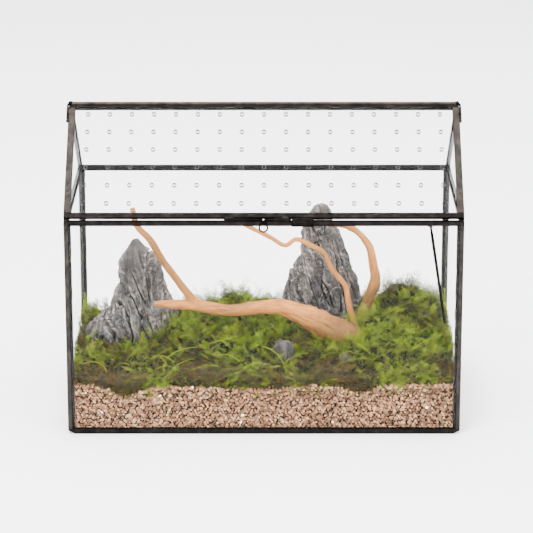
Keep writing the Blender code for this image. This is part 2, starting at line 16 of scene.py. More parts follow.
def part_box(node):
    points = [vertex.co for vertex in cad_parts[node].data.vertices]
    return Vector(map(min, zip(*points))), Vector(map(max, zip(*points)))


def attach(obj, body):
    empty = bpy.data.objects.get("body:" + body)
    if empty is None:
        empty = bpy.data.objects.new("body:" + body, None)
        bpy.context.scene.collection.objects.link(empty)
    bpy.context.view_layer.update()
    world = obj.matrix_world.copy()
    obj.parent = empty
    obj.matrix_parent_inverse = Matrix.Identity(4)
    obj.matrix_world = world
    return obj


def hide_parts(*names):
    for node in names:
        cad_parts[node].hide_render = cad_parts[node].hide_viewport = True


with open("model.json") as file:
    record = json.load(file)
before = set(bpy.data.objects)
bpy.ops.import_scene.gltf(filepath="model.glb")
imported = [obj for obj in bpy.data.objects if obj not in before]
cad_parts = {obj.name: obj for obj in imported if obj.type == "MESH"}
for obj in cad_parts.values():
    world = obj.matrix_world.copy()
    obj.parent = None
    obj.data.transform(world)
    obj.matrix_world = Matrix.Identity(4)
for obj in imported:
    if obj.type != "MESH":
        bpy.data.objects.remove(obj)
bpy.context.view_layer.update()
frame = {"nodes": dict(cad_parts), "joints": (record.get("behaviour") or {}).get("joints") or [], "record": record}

MM = 0.001
NODES = frame["nodes"]
BODY_OF = {node: body for body, nodes in frame["record"]["behaviour"]["bodies"].items()
           for node in nodes}
SLOT_OF = {part["node"]: part["material_slot"] for part in frame["record"]["subparts"]}
JOINTS = {joint["name"]: joint for joint in frame["joints"]}

INNER_X = abs(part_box("left_pane")[1].x)
INNER_Y = abs(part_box("front_pane")[1].y)

LIGHT_LEVEL = 3.1
WELD = 1e-6


# ---------------------------------------------------------------- small helpers

def paint(red, green, blue, boost=1.0):
    """Surface colour that shows as these 0-255 display values under the bright studio light."""
    def base(value):
        shown = value / 255
        return 0.2157 * (shown / (1 - shown)) ** 1.2346 / LIGHT_LEVEL
    color = [base(value) for value in (red, green, blue)]
    peak = max(color)
    return tuple(max(0.0, peak + (c - peak) * boost) for c in color)


def blend(one, two, share):
    """Colour between two others."""
    return tuple(a + (b - a) * share for a, b in zip(one, two))


def clamp(value, low=0.0, high=1.0):
    return max(low, min(high, value))


def draw(rng, *spans):
    """A point or direction with one random draw from each (low, high) span."""
    return Vector([rng.uniform(low, high) for low, high in spans])


def smooth_step(value):
    value = clamp(value)
    return value * value * (3 - 2 * value)


def bump_at(x, y, cx, cy, rx, ry):
    return math.exp(-((x - cx) / rx) ** 2 - ((y - cy) / ry) ** 2)


def joint_place(name):
    return Vector(JOINTS[name]["pos_m"])


def finish_piece(obj, node):
    """Ride on the CAD node's body and stand for the node, which is hidden."""
    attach(obj, BODY_OF[node])
    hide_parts(node)


def link_object(name, mesh, *materials):
    for material in materials:
        mesh.materials.append(material)
    obj = bpy.data.objects.new(name, mesh)
    bpy.context.scene.collection.objects.link(obj)
    return obj


def object_from_bmesh(name, bm, *materials, smooth_angle=None):
    mesh = bpy.data.meshes.new(name)
    bmesh.ops.recalc_face_normals(bm, faces=bm.faces)
    bm.to_mesh(mesh)
    bm.free()
    if smooth_angle is not None:
        mesh.shade_smooth()
        mesh.set_sharp_from_angle(angle=math.radians(smooth_angle))
    return link_object(name, mesh, *materials)


def add_tints(mesh, tints):
    """One colour for each corner point, read by the tinted materials."""
    layer = mesh.color_attributes.new(name="tint", type="FLOAT_COLOR", domain="POINT")
    colors = np.ones((len(tints), 4), np.float32)
    colors[:, :3] = np.array(tints, np.float32)
    layer.data.foreach_set("color", colors.ravel())


def tinted_object(name, verts, faces, tints, material):
    mesh = bpy.data.meshes.new(name)
    mesh.from_pydata(verts, [], faces)
    add_tints(mesh, tints)
    mesh.update()
    return link_object(name, mesh, material)


def welded_copy(node):
    """The node's mesh with its split corners welded and its flat faces whole."""
    bm = bmesh.new()
    bm.from_mesh(NODES[node].data)
    bmesh.ops.remove_doubles(bm, verts=bm.verts, dist=WELD)
    bmesh.ops.dissolve_limit(bm, angle_limit=math.radians(1), verts=bm.verts, edges=bm.edges)
    return bm


def bevel_corners(bm, sharper_than, offset, segments, **settings):
    """Ease every edge that turns by more than an angle in degrees."""
    edges = [e for e in bm.edges if e.calc_face_angle(0.0) > math.radians(sharper_than)]
    bmesh.ops.bevel(bm, geom=edges, offset=offset, segments=segments, affect="EDGES",
                    clamp_overlap=True, **settings)


def slice_along(bm, node, axis, steps):
    """Cut the mesh into equal lengths, so that it can be rippled."""
    low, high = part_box(node)
    normal = Vector((0, 0, 0))
    normal[axis] = 1
    for i in range(1, steps):
        place = Vector(low)
        place[axis] = low[axis] + (high[axis] - low[axis]) * i / steps
        geometry = bm.verts[:] + bm.edges[:] + bm.faces[:]
        bmesh.ops.bisect_plane(bm, geom=geometry, plane_co=place, plane_no=normal)


def split_large_faces(bm):
    bmesh.ops.triangulate(bm, faces=[f for f in bm.faces if len(f.verts) > 4])


# ---------------------------------------------------------------- materials

def grey(value):
    return (value, value, value)


class Finish:
    """One node material on a Principled shader, with short names for the nodes it is made of."""

    def __init__(self, name):
        self.material = bpy.data.materials.new(name)
        self.material.use_nodes = True
        self.tree = self.material.node_tree
        self.shader = self.tree.nodes["Principled BSDF"]
        self.where = self.node("TexCoord", {}).outputs["Object"]

    def feed(self, value, socket):
        """Link another node's output to the socket, or set the socket's own value."""
        if isinstance(value, bpy.types.NodeSocket):
            self.tree.links.new(value, socket)
        else:
            socket.default_value = value

    def node(self, kind, inputs, **settings):
        node = self.tree.nodes.new("ShaderNode" + kind)
        for name, value in settings.items():
            setattr(node, name, value)
        for name, value in inputs.items():
            self.feed(value, node.inputs[name])
        return node

    def put(self, **values):
        """Set or link the shader's own inputs: put(Base_Color=..., Roughness=...)."""
        for name, value in values.items():
            self.feed(value, self.shader.inputs[name.replace("_", " ")])

    def noise(self, scale, detail=4.0, roughness=0.55, distortion=0.0, vector=None):
        place = self.where if vector is None else vector
        return self.node("TexNoise", {"Vector": place, "Scale": scale, "Detail": detail,
                                      "Roughness": roughness, "Distortion": distortion}).outputs["Fac"]

    def scaled(self, scale, vector=None):
        place = self.where if vector is None else vector
        return self.node("Mapping", {"Vector": place, "Scale": scale}).outputs["Vector"]

    def ramp(self, factor, stops):
        node = self.node("ValToRGB", {"Fac": factor})
        elements = node.color_ramp.elements
        while len(elements) < len(stops):
            elements.new(0.5)
        for element, (place, color) in zip(elements, stops):
            element.position = place
            element.color = (*color, 1.0)
        return node.outputs["Color"]

    def mix(self, factor, one, two, mode="MIX"):
        node = self.node("Mix", {}, data_type="RGBA", blend_type=mode)
        for value, name in ((factor, "Factor"), (one, "A"), (two, "B")):
            socket = [s for s in node.inputs if s.name == name and s.enabled][0]
            self.feed((*value, 1.0) if isinstance(value, tuple) else value, socket)
        return [s for s in node.outputs if s.enabled][0]

    def to_range(self, factor, low, high, start=0.0, end=1.0):
        return self.node("MapRange", {"Value": factor, "From Min": start, "From Max": end,
                                      "To Min": low, "To Max": high}).outputs["Result"]

    def calculate(self, operation, one, two=0.5):
        node = self.node("Math", {}, operation=operation)
        self.feed(one, node.inputs[0])
        self.feed(two, node.inputs[1])
        return node.outputs[0]

    def pointiness(self):
        return self.node("NewGeometry", {}).outputs["Pointiness"]

    def tint(self):
        return self.node("Attribute", {}, attribute_name="tint").outputs["Color"]

    def bump(self, height, strength, distance):
        node = self.node("Bump", {"Strength": strength, "Distance": distance, "Height": height})
        self.put(Normal=node.outputs["Normal"])


def metal_material(name, dark, middle, bright, roughness, wear_and_highlight=None):
    """Blackened metal: dark patina with rubbed patches, and, where an edge colour is given, lighter edges that are
    part rubbed brass and part painted highlight.
    """
    finish = Finish(name)
    blotch = finish.noise(120.0, 7.0, 0.68, 0.3)
    fine = finish.noise(520.0, 5.0, 0.65)
    patina = finish.ramp(blotch, [(0.30, paint(*dark)), (0.52, paint(*middle)),
                                  (0.74, paint(*bright))])
    speck = finish.ramp(fine, [(0.35, grey(0.45)), (0.65, (1.25, 1.2, 1.15))])
    color = finish.mix(0.5, patina, speck, "MULTIPLY")
    if wear_and_highlight is not None:
        # Lighter edges from pointiness: part rubbed brass, part painted highlight where the rounded came catches
        # the light.
        edge = finish.to_range(finish.pointiness(), 0.0, 1.0, 0.52, 0.64)
        patches = finish.to_range(blotch, 0.1, 0.9, 0.35, 0.65)
        color = finish.mix(finish.calculate("MULTIPLY", edge, patches), color, paint(*wear_and_highlight))
    finish.put(Base_Color=color, Metallic=1.0, Specular_Tint=(0.16, 0.15, 0.14, 1.0),
               Roughness=finish.to_range(fine, roughness - 0.1, roughness + 0.14, 0.3, 0.7))
    finish.bump(fine, 0.35, 0.0003)
    return finish.material


def glass_material(name, tint, haze, edge_alpha):
    """Thin clear glass: nearly unseen face on, a soft sheen at a slant."""
    finish = Finish(name)
    smear = finish.noise(14.0, 3.0, 0.5, 0.6)
    clean = tuple(min(1, c * 1.06) for c in tint)
    facing = finish.node("LayerWeight", {"Blend": 0.35}).outputs["Facing"]
    slant = finish.calculate("POWER", facing, 2.6)
    finish.put(Base_Color=finish.ramp(smear, [(0.35, tint), (0.7, clean)]),
               Alpha=finish.to_range(slant, haze, edge_alpha),
               Roughness=finish.to_range(smear, 0.02, 0.06), IOR=1.5, Metallic=0.6)
    return finish.material


def ground_glass_material(name, color, alpha):
    """Cut glass: frosted, with a fine grain."""
    finish = Finish(name)
    grain = finish.noise(900.0, 3.0)
    clean = paint(*color)
    dull = tuple(c * 0.85 for c in clean)
    finish.put(Base_Color=finish.ramp(grain, [(0.3, dull), (0.7, clean)]), Alpha=alpha,
               Roughness=finish.to_range(grain, 0.25, 0.5))
    return finish.material


def tinted_material(name, grain_scale, roughness, bump):
    """A surface whose colour is in its tint attribute, broken up by a fine grain."""
    finish = Finish(name)
    grain = finish.noise(grain_scale, 6.0, 0.65)
    shade = finish.ramp(grain, [(0.3, grey(0.8)), (0.7, grey(1.1))])
    finish.put(Base_Color=finish.mix(1.0, finish.tint(), shade, "MULTIPLY"),
               Roughness=finish.to_range(grain, roughness - 0.1, roughness + 0.1),
               Specular_IOR_Level=0.12)
    finish.bump(grain, 0.5, bump)
    return finish.material


def stone_material(name, level):
    """Grey landscape stone: mottled, with painted shade in the hollows and painted highlight on the crests, and
    thin pale veins.
    """
    finish = Finish(name)
    mottle = finish.noise(75.0, 9.0, 0.72, 0.3, finish.scaled((1.0, 1.0, 0.30)))
    base = finish.ramp(mottle, [(0.30, paint(60, 57, 57)), (0.45, paint(104, 100, 98)),
                                (0.58, paint(146, 140, 136)), (0.74, paint(196, 190, 186))])
    warm = finish.to_range(finish.noise(18.0, 3.0), 0.0, 0.55, 0.5, 0.75)
    base = finish.mix(warm, base, paint(128, 112, 100))
    vein = finish.noise(30.0, 6.0, 0.6, 1.2, finish.scaled((1.0, 1.0, 0.55)))
    from_middle = finish.calculate("ABSOLUTE", finish.calculate("SUBTRACT", vein))
    line = finish.to_range(from_middle, 0.55, 0.0, 0.0, 0.008)
    veined = finish.mix(line, base, paint(212, 208, 204))
    # Pointiness darkens the hollows and lightens the crests: painted shade and painted highlight; level scales it.
    hollow_shade_and_crest_highlight = finish.ramp(finish.pointiness(), [(0.44, grey(0.10 * level)), (0.50, grey(0.80 * level)),
                                               (0.56, grey(1.9 * level))])
    grain = finish.noise(420.0, 8.0, 0.7)
    finish.put(Base_Color=finish.mix(0.9, veined, hollow_shade_and_crest_highlight, "MULTIPLY"),
               Roughness=finish.to_range(grain, 0.72, 0.98), Specular_IOR_Level=0.15)
    finish.bump(grain, 0.8, 0.0016)
    return finish.material


def wood_material():
    """Bare driftwood: warm tan, with darker streaks that follow each branch's grain map."""
    finish = Finish("driftwood")
    along = finish.node("UVMap", {}, uv_map="grain").outputs["UV"]
    streak = finish.noise(1.0, 6.0, 0.6, 0.5, finish.scaled((26.0, 9.0, 1.0), along))
    fine = finish.noise(1.0, 4.0, 0.6, vector=finish.scaled((120.0, 40.0, 1.0), along))
    shade = finish.ramp(streak, [(0.30, (0.42, 0.34, 0.28)), (0.50, (0.95, 0.92, 0.88)),
                                 (0.72, (1.35, 1.34, 1.3))])
    color = finish.mix(1.0, finish.tint(), shade, "MULTIPLY")
    lines = finish.ramp(fine, [(0.3, (0.78, 0.74, 0.70)), (0.6, grey(1.06))])
    finish.put(Base_Color=finish.mix(0.8, color, lines, "MULTIPLY"),
               Roughness=finish.to_range(fine, 0.55, 0.85), Specular_IOR_Level=0.18)
    finish.bump(streak, 0.5, 0.0008)
    return finish.material


def sealant_material():
    """Black silicone, slightly rippled."""
    finish = Finish("black_sealant")
    ripple = finish.noise(240.0, 3.0)
    finish.put(Base_Color=finish.ramp(ripple, [(0.3, paint(18, 18, 18)), (0.7, paint(34, 33, 32))]),
               Roughness=finish.to_range(ripple, 0.3, 0.5), Specular_IOR_Level=0.15)
    finish.bump(ripple, 0.4, 0.0004)
    return finish.material


def core_material(name, dark, light, scale):
    """The dark bed behind the loose chips, painted shade for the gaps between them, or the thatch under the
    fronds.
    """
    finish = Finish(name)
    cells = finish.node("TexVoronoi", {"Vector": finish.where, "Scale": scale}).outputs["Distance"]
    rough = finish.noise(scale * 2, 3.0)
    finish.put(Base_Color=finish.ramp(cells, [(0.0, paint(*light)), (0.6, paint(*dark))]),
               Roughness=finish.to_range(rough, 0.85, 1.0), Specular_IOR_Level=0.08)
    finish.bump(rough, 0.8, 0.002)
    return finish.material


def studio_material():
    """Pale, matt floor."""
    finish = Finish("studio_floor")
    tone = finish.noise(0.8, 2.0)
    finish.put(Base_Color=finish.ramp(tone, [(0.3, grey(0.93)), (0.7, grey(0.95))]), Roughness=0.9)
    return finish.material


CAME = metal_material("antique_came", (26, 24, 24), (42, 38, 38), (72, 65, 60), 0.42,
                      wear_and_highlight=(150, 132, 112))
# A lighter copy of the came for posts, lid side bars, rakes and the ridge tube: painted light on the parts that
# read brighter.
LIGHTER_PAINTED_CAME = metal_material("came_painted_lighter", (50, 46, 45), (84, 78, 74), (116, 106, 96), 0.42,
                           wear_and_highlight=(164, 146, 124))
SOLDER = metal_material("patina_solder", (40, 38, 38), (66, 62, 60), (104, 96, 88), 0.38)
WIRE = metal_material("blackened_wire", (18, 17, 17), (28, 26, 26), (50, 46, 43), 0.40)
GLASS = glass_material("clear_glass", (0.86, 0.93, 0.91), 0.003, 0.18)
GLASS_EDGE = ground_glass_material("cut_glass_edge", (150, 158, 154), 0.06)
HOLE_RIM = ground_glass_material("hole_rim", (84, 86, 88), 0.80)
# The hole's wall is painted near black: painted shade for the dark that the glass bends into the holes.
HOLE_WALL_SHADE = ground_glass_material("hole_wall_painted_shade", (16, 17, 18), 0.97)
SEALANT = sealant_material()
CHIP = tinted_material("gravel_chip", 900.0, 0.8, 0.0004)
# Dark brown bed under the chips: painted shade showing in the gaps between them.
BED_GAP_SHADE = core_material("gravel_gap_shade_core", (44, 30, 22), (92, 66, 48), 260.0)
THATCH = core_material("moss_thatch", (30, 30, 14), (62, 58, 28), 300.0)
FROND = tinted_material("moss_frond", 700.0, 0.6, 0.0002)
# A darker copy of the stone for the small stones low among the moss: painted shade.
STONE = stone_material("landscape_stone", 1.0)
SHADED_STONE = stone_material("shaded_stone_painted", 0.52)
WOOD = wood_material()


# ---------------------------------------------------------------- frame bars, panes, wires

CAME_BEVEL = 0.55 * MM
CAME_WOBBLE = 0.10 * MM
CAME_SLICE = 6 * MM
# Width of the border that keeps the lighter edge colour, wear and painted highlight, to the edges.
WEAR_AND_HIGHLIGHT_BORDER = 0.35 * MM
PANE_BEVEL = 0.35 * MM
FITTING_BEVEL = 0.18 * MM
FITTING_SLICE = 3 * MM
PROP_GROWTH = 1.4
WIRE_SWELL = {"hinge_rod": 0.10 * MM, "latch_bolt": 0.26 * MM, "stay_staple": 0.08 * MM,
              "stay_rod": 0.35 * MM}
FITTINGS = ("ridge_tube", "latch_tube_left", "latch_tube_right", "latch_keeper")
# Bars that take the lighter copy of the came, painted light where they read brighter.
LIGHTER_PAINTED_BARS = ("post_", "lid_bar_left", "lid_bar_right", "rake_")


def refine_bar(node):
    """The CAD bar with eased edges and the slight unevenness of hand-worked came."""
    bm = welded_copy(node)
    bevel_corners(bm, 20, CAME_BEVEL, 3, profile=0.6)
    frame_flats(bm)
    low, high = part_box(node)
    spans = [high[i] - low[i] for i in range(3)]
    axis = spans.index(max(spans))
    slice_along(bm, node, axis, int(spans[axis] / CAME_SLICE))
    bmesh.ops.recalc_face_normals(bm, faces=bm.faces)
    bm.normal_update()
    for vert in bm.verts:
        ripple = noise.noise(vert.co * 160.0) * 0.7 + noise.noise(vert.co * 60.0)
        vert.co += vert.normal * (ripple - 0.6) * CAME_WOBBLE
    split_large_faces(bm)
    # Posts, lid side bars and rakes take the lighter copy of the came, as painted light.
    metal = LIGHTER_PAINTED_CAME if node.startswith(LIGHTER_PAINTED_BARS) else CAME
    finish_piece(object_from_bmesh("shaped_" + node, bm, metal, smooth_angle=35), node)


def frame_flats(bm):
    """A narrow border inside each large flat, so that only the edges take the lighter edge colour, part wear and
    part painted highlight.
    """
    largest = max(f.calc_area() for f in bm.faces)
    flats = [f for f in bm.faces if f.calc_area() > largest * 0.02]
    bmesh.ops.inset_individual(bm, faces=flats, thickness=WEAR_AND_HIGHLIGHT_BORDER, use_even_offset=True)


def refine_pane(node):
    """The pane with a ground edge: faces stay clear, the narrow sides are frosted."""
    bm = welded_copy(node)
    bevel_corners(bm, 20, PANE_BEVEL, 1)
    largest = max(f.calc_area() for f in bm.faces)
    for face in bm.faces:
        face.material_index = 0 if face.calc_area() > largest * 0.5 else 1
    bmesh.ops.triangulate(bm, faces=bm.faces)
    finish_piece(object_from_bmesh("clear_" + node, bm, GLASS, GLASS_EDGE), node)


def refine_wire(node):
    """The CAD wire, rounded by subdivision; the swell makes up for what rounding takes off."""
    bm = welded_copy(node)
    bmesh.ops.recalc_face_normals(bm, faces=bm.faces)
    bm.normal_update()
    for vert in bm.verts:
        vert.co += vert.normal * WIRE_SWELL[node]
    if node == "stay_rod":
        thicken_rod(bm)
    obj = object_from_bmesh("round_" + node, bm, WIRE, smooth_angle=60)
    rounder = obj.modifiers.new("rounder", "SUBSURF")
    rounder.levels = 2
    rounder.render_levels = 2
    finish_piece(obj, node)


def thicken_rod(bm):
    """The straight prop below its eye is a heavier wire."""
    eye = joint_place("stay_hinge")
    foot = min(v.co.z for v in bm.verts)
    end = [v.co for v in bm.verts if v.co.z < foot + 4 * MM]
    tip = sum(end, Vector()) / len(end)
    start = Vector((eye.x, tip.y, eye.z))
    line = (tip - start).normalized()
    edges = [e for e in bm.edges if e.calc_length() > 40 * MM]
    bmesh.ops.subdivide_edges(bm, edges=edges, cuts=24)
    for vert in bm.verts:
        along = (vert.co - start).dot(line)
        middle = start + line * along
        share = smooth_step((along - 3 * MM) / (5 * MM))
        vert.co = middle + (vert.co - middle) * (1 + (PROP_GROWTH - 1) * share)


def refine_fitting(node):
    """A tube or the keeper, with small eased edges."""
    bm = welded_copy(node)
    bevel_corners(bm, 50, FITTING_BEVEL, 2)
    low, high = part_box(node)
    slice_along(bm, node, 0, max(4, int((high.x - low.x) / FITTING_SLICE)))
    split_large_faces(bm)
    # The ridge tube takes the lighter copy of the came, as painted light.
    metal = WIRE if node.startswith("latch") else LIGHTER_PAINTED_CAME
    finish_piece(object_from_bmesh("shaped_" + node, bm, metal, smooth_angle=40), node)


def build_frame():
    for node, slot in SLOT_OF.items():
        if slot in ("frame_came", "lid_came") and node not in FITTINGS:
            refine_bar(node)
    for node, slot in SLOT_OF.items():
        if slot == "tank_glass":
            refine_pane(node)
    for node in FITTINGS:
        refine_fitting(node)
    for node in WIRE_SWELL:
        refine_wire(node)


BEAD_LEG = 3.2 * MM
BEAD_STEPS = 40
BEAD_POINTS = 6


def build_sealant():
    """Black beads in the four corners, from the posts' inner edges to the panes."""
    inner_x, inner_y = INNER_X - 0.15 * MM, INNER_Y - 0.15 * MM
    pull = 0.34
    for node in [n for n, slot in SLOT_OF.items() if slot == "sealant"]:
        low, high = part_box(node)
        sx = -1 if low.x < 0 else 1
        sy = -1 if low.y < 0 else 1
        bm = bmesh.new()
        rings = []
        for i in range(BEAD_STEPS + 1):
            z = low.z + (high.z - low.z) * i / BEAD_STEPS
            ring = [(inner_x, inner_y)]
            for k in range(BEAD_POINTS):
                turn = math.pi / 2 * k / (BEAD_POINTS - 1)
                reach = BEAD_LEG * (1 + 0.16 * noise.noise(Vector((sx, sy, z * 90 + k))))
                ring.append((inner_x - reach * (1 - pull * math.sin(turn)) * math.cos(turn),
                             inner_y - reach * (1 - pull * math.cos(turn)) * math.sin(turn)))
            rings.append([bm.verts.new((sx * x, sy * y, z)) for x, y in ring])
        join_rings(bm, rings)
        bm.faces.new(rings[0])
        bm.faces.new(rings[-1])
        finish_piece(object_from_bmesh("bead_" + node, bm, SEALANT, smooth_angle=50), node)


def join_rings(bm, rings):
    """Quads between neighbouring closed rings."""
    for one, two in zip(rings, rings[1:]):
        for k in range(len(one)):
            j = (k + 1) % len(one)
            bm.faces.new((one[k], one[j], two[j], two[k]))


# ---------------------------------------------------------------- lid

def lid_frame():
    """Matrix from the lid's own flat frame to the world: -Y runs down the slope."""
    up = Vector((0, 0, 0))
    for face in NODES["lid_pane"].data.polygons:
        if face.normal.z > 0.5:
            up += face.normal * face.area
    slope = math.atan2(-up.y, up.z)
    return Matrix.Translation(joint_place("lid_hinge")) @ Matrix.Rotation(slope, 4, "X")


HOLE_COLUMNS = 17
HOLE_ROWS = 6
HOLE_PITCH_X = 22.5 * MM
HOLE_PITCH_Y = 22.6 * MM
HOLE_FIRST_ROW = 13.9 * MM
HOLE_RADIUS = 1.75 * MM
HOLE_CHAMFER = 0.45 * MM
POINTS_PER_SIDE = 6


def cell_outline(cx, top, low):
    """Points round one rectangular cell of the pane, as many as the hole has."""
    half = HOLE_PITCH_X / 2
    corners = [(cx + half, top), (cx - half, top), (cx - half, low), (cx + half, low)]
    points = []
    for (ax, ay), (bx, by) in zip(corners, corners[1:] + corners[:1]):
        for k in range(POINTS_PER_SIDE):
            t = k / POINTS_PER_SIDE
            points.append((ax + (bx - ax) * t, ay + (by - ay) * t))
    return points


def drill_cell(bm, cx, cy, outline, half_t):
    """Clear glass, a frosted chamfer, the wall of the hole painted near black as the shade seen in it, and the
    same below.
    """
    sides = len(outline)
    wide = HOLE_RADIUS + HOLE_CHAMFER
    rings = []
    for z, radius in ((half_t, None), (half_t, wide), (half_t - HOLE_CHAMFER, HOLE_RADIUS),
                      (-half_t + HOLE_CHAMFER, HOLE_RADIUS), (-half_t, wide), (-half_t, None)):
        ring = []
        for k in range(sides):
            if radius is None:
                x, y = outline[k]
            else:
                turn = math.pi / 4 + 2 * math.pi * k / sides
                x, y = cx + radius * math.cos(turn), cy + radius * math.sin(turn)
            ring.append(bm.verts.new((x, y, z)))
        rings.append(ring)
    for upper, lower, index in zip(rings, rings[1:], (0, 1, 2, 1, 0)):
        for k in range(sides):
            j = (k + 1) % sides
            face = bm.faces.new((upper[k], upper[j], lower[j], lower[k]))
            face.material_index = index


def build_lid_pane():
    """The drilled pane: each cell is a square ring of quads round a chamfered hole."""
    to_world = lid_frame()
    flat = [to_world.inverted() @ v.co for v in NODES["lid_pane"].data.vertices]
    x_half = max(p.x for p in flat)
    y_top, y_low = max(p.y for p in flat), min(p.y for p in flat)
    half_t = max(p.z for p in flat)
    bm = bmesh.new()
    for column in range(HOLE_COLUMNS):
        cx = (column - (HOLE_COLUMNS - 1) / 2) * HOLE_PITCH_X
        for row in range(HOLE_ROWS):
            cy = -HOLE_FIRST_ROW - row * HOLE_PITCH_Y
            top = y_top if row == 0 else cy + HOLE_PITCH_Y / 2
            y_cells = cy - HOLE_PITCH_Y / 2
            drill_cell(bm, cx, cy, cell_outline(cx, top, y_cells), half_t)
    bmesh.ops.remove_doubles(bm, verts=bm.verts, dist=WELD)
    add_margins(bm, x_half, HOLE_COLUMNS * HOLE_PITCH_X / 2, y_top, y_cells, y_low, half_t)
    bmesh.ops.transform(bm, matrix=to_world, verts=bm.verts)
    split_large_faces(bm)
    obj = object_from_bmesh("drilled_lid_pane", bm, GLASS, HOLE_RIM, HOLE_WALL_SHADE, GLASS_EDGE)
    finish_piece(obj, "lid_pane")


def add_margins(bm, x_half, x_cells, y_top, y_cells, y_low, half_t):
    """Plain glass round the drilled field, sharing its edge points."""
    near = 1e-5

    def edge_points(z, axis, value):
        found = [v for v in bm.verts if abs(v.co.z - z) < near and abs(v.co[axis] - value) < near]
        return sorted(found, key=lambda v: v.co[1 - axis])

    rims = []
    for z in (half_t, -half_t):
        left, right = edge_points(z, 0, -x_cells), edge_points(z, 0, x_cells)
        low, high = edge_points(z, 1, y_cells), edge_points(z, 1, y_top)
        left_top, left_cells, left_low = [bm.verts.new((-x_half, y, z))
                                          for y in (y_top, y_cells, y_low)]
        right_low, right_cells, right_top = [bm.verts.new((x_half, y, z))
                                             for y in (y_low, y_cells, y_top)]
        bm.faces.new([left_top, left_cells] + left)
        bm.faces.new([right_top, right_cells] + right)
        bm.faces.new([left_cells] + low + [right_cells, right_low, left_low])
        rims.append([left_top, left_cells, left_low, right_low, right_cells, right_top]
                    + high[::-1])
    top, bottom = rims
    for i in range(len(top)):
        j = (i + 1) % len(top)
        face = bm.faces.new((top[i], top[j], bottom[j], bottom[i]))
        face.material_index = 3


# ---------------------------------------------------------------- solder

def solder_blob(name, center, radii_mm, body, seed, material=SOLDER):
    """A small flowed drop of solder."""
    bm = bmesh.new()
    bmesh.ops.create_icosphere(bm, subdivisions=3, radius=1.0)
    radii = [r * MM for r in radii_mm]
    for vert in bm.verts:
        lump = 1 + 0.14 * noise.noise(vert.co * 1.9 + Vector((seed, seed * 0.7, 3)))
        vert.co = Vector(center) + Vector([vert.co[i] * lump * radii[i] for i in range(3)])
    obj = object_from_bmesh(name, bm, material, smooth_angle=80)
    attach(obj, body)


def build_solder():
    """Joints: eave corners, base corners, ridge ends, hinge legs, the latch and the keeper."""
    rail_low, rail_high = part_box("front_rail")
    rear_low, rear_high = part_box("rear_eave_bar")
    base_z = 5.0 * MM
    corners = (("eave_front", rail_low.y + 2.2 * MM, rail_low.z + 1.6 * MM, (2.8, 2.5, 3.8), 1.0),
               ("eave_rear", rear_high.y - 2.4 * MM, rear_low.z + 1.6 * MM, (2.8, 2.8, 3.8), 5.0),
               ("base_front", rail_low.y + 2.6 * MM, base_z, (2.6, 2.9, 2.2), 8.0),
               ("base_rear", rear_high.y - 2.6 * MM, base_z, (2.6, 2.9, 2.2), 11.0))
    hinge = joint_place("lid_hinge")
    to_world = lid_frame()
    for side, sign in (("left", -1), ("right", 1)):
        x = sign * (rail_high.x - 2.4 * MM)
        for corner, y, z, radii, seed in corners:
            solder_blob("solder_%s_%s" % (corner, side), (x, y, z), radii, "tank", seed + sign)
        solder_blob("ridge_end_" + side, (sign * 198.2 * MM, hinge.y, hinge.z),
                    (2.6, 2.9, 3.0), "tank", 14.0 + sign, WIRE)
        for n, reach in enumerate((7.0, 10.5, 14.5, 18.5, 22.5)):
            place = to_world @ Vector((sign * 200.7 * MM, -reach * MM, 0.4 * MM))
            solder_blob("solder_hinge_%s_%d" % (side, n), place, (1.6, 2.3, 2.1), "lid",
                        20.0 + n * sign, CAME)
    left_low, left_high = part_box("latch_tube_left")
    right_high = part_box("latch_tube_right")[1]
    tube_y, tube_z = (left_low.y + left_high.y) / 2, (left_low.z + left_high.z) / 2
    solder_blob("solder_latch_left", (left_low.x + 5.0 * MM, tube_y + 0.9 * MM, tube_z + 1.0 * MM),
                (6.2, 1.9, 2.0), "lid", 31.0)
    solder_blob("solder_latch_right",
                (right_high.x - 6.0 * MM, tube_y + 1.2 * MM, tube_z + 1.2 * MM),
                (4.2, 1.4, 1.5), "lid", 33.0)
    keeper_low, keeper_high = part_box("latch_keeper")
    keeper_x = (keeper_low.x + keeper_high.x) / 2
    solder_blob("solder_keeper", (keeper_x, keeper_high.y - 1.5 * MM, keeper_low.z + 0.8 * MM),
                (8.5, 1.3, 1.2), "tank", 35.0)


# ---------------------------------------------------------------- gravel

GRAVEL_SEED = 11
CHIP_SHAPES = 60
CHIP_STEP = 3.1 * MM
CHIP_LAYER = CHIP_STEP * 0.86
FLOOR_STEP = 4.6 * MM
TOP_STEP = 3.7 * MM
ODD_SHARE = 0.02
CHIP_COLORS = [(194, 166, 134), (202, 178, 148), (186, 154, 122), (208, 188, 160), (180, 148, 116),
               (172, 138, 106), (200, 170, 138), (194, 160, 130), (152, 120, 92), (212, 196, 172)]
ODD_COLORS = [(64, 68, 60), (80, 76, 70), (70, 74, 66), (232, 232, 226), (96, 68, 52)]


def bed_top(x, y):
    """Top of the gravel: level inside, uneven along the front glass."""
    front = clamp((-y - 0.070) / 0.034)
    dip = -13.0 * math.exp(-((x + 0.142) / 0.022) ** 2)
    dip -= 9.0 * math.exp(-((x - 0.097) / 0.020) ** 2)
    dip -= 5.0 * math.exp(-((x + 0.020) / 0.070) ** 2)
    ripple = 1.6 * noise.noise(Vector((x * 90, y * 90, 7)))
    return (50.0 + front * dip + ripple) * MM


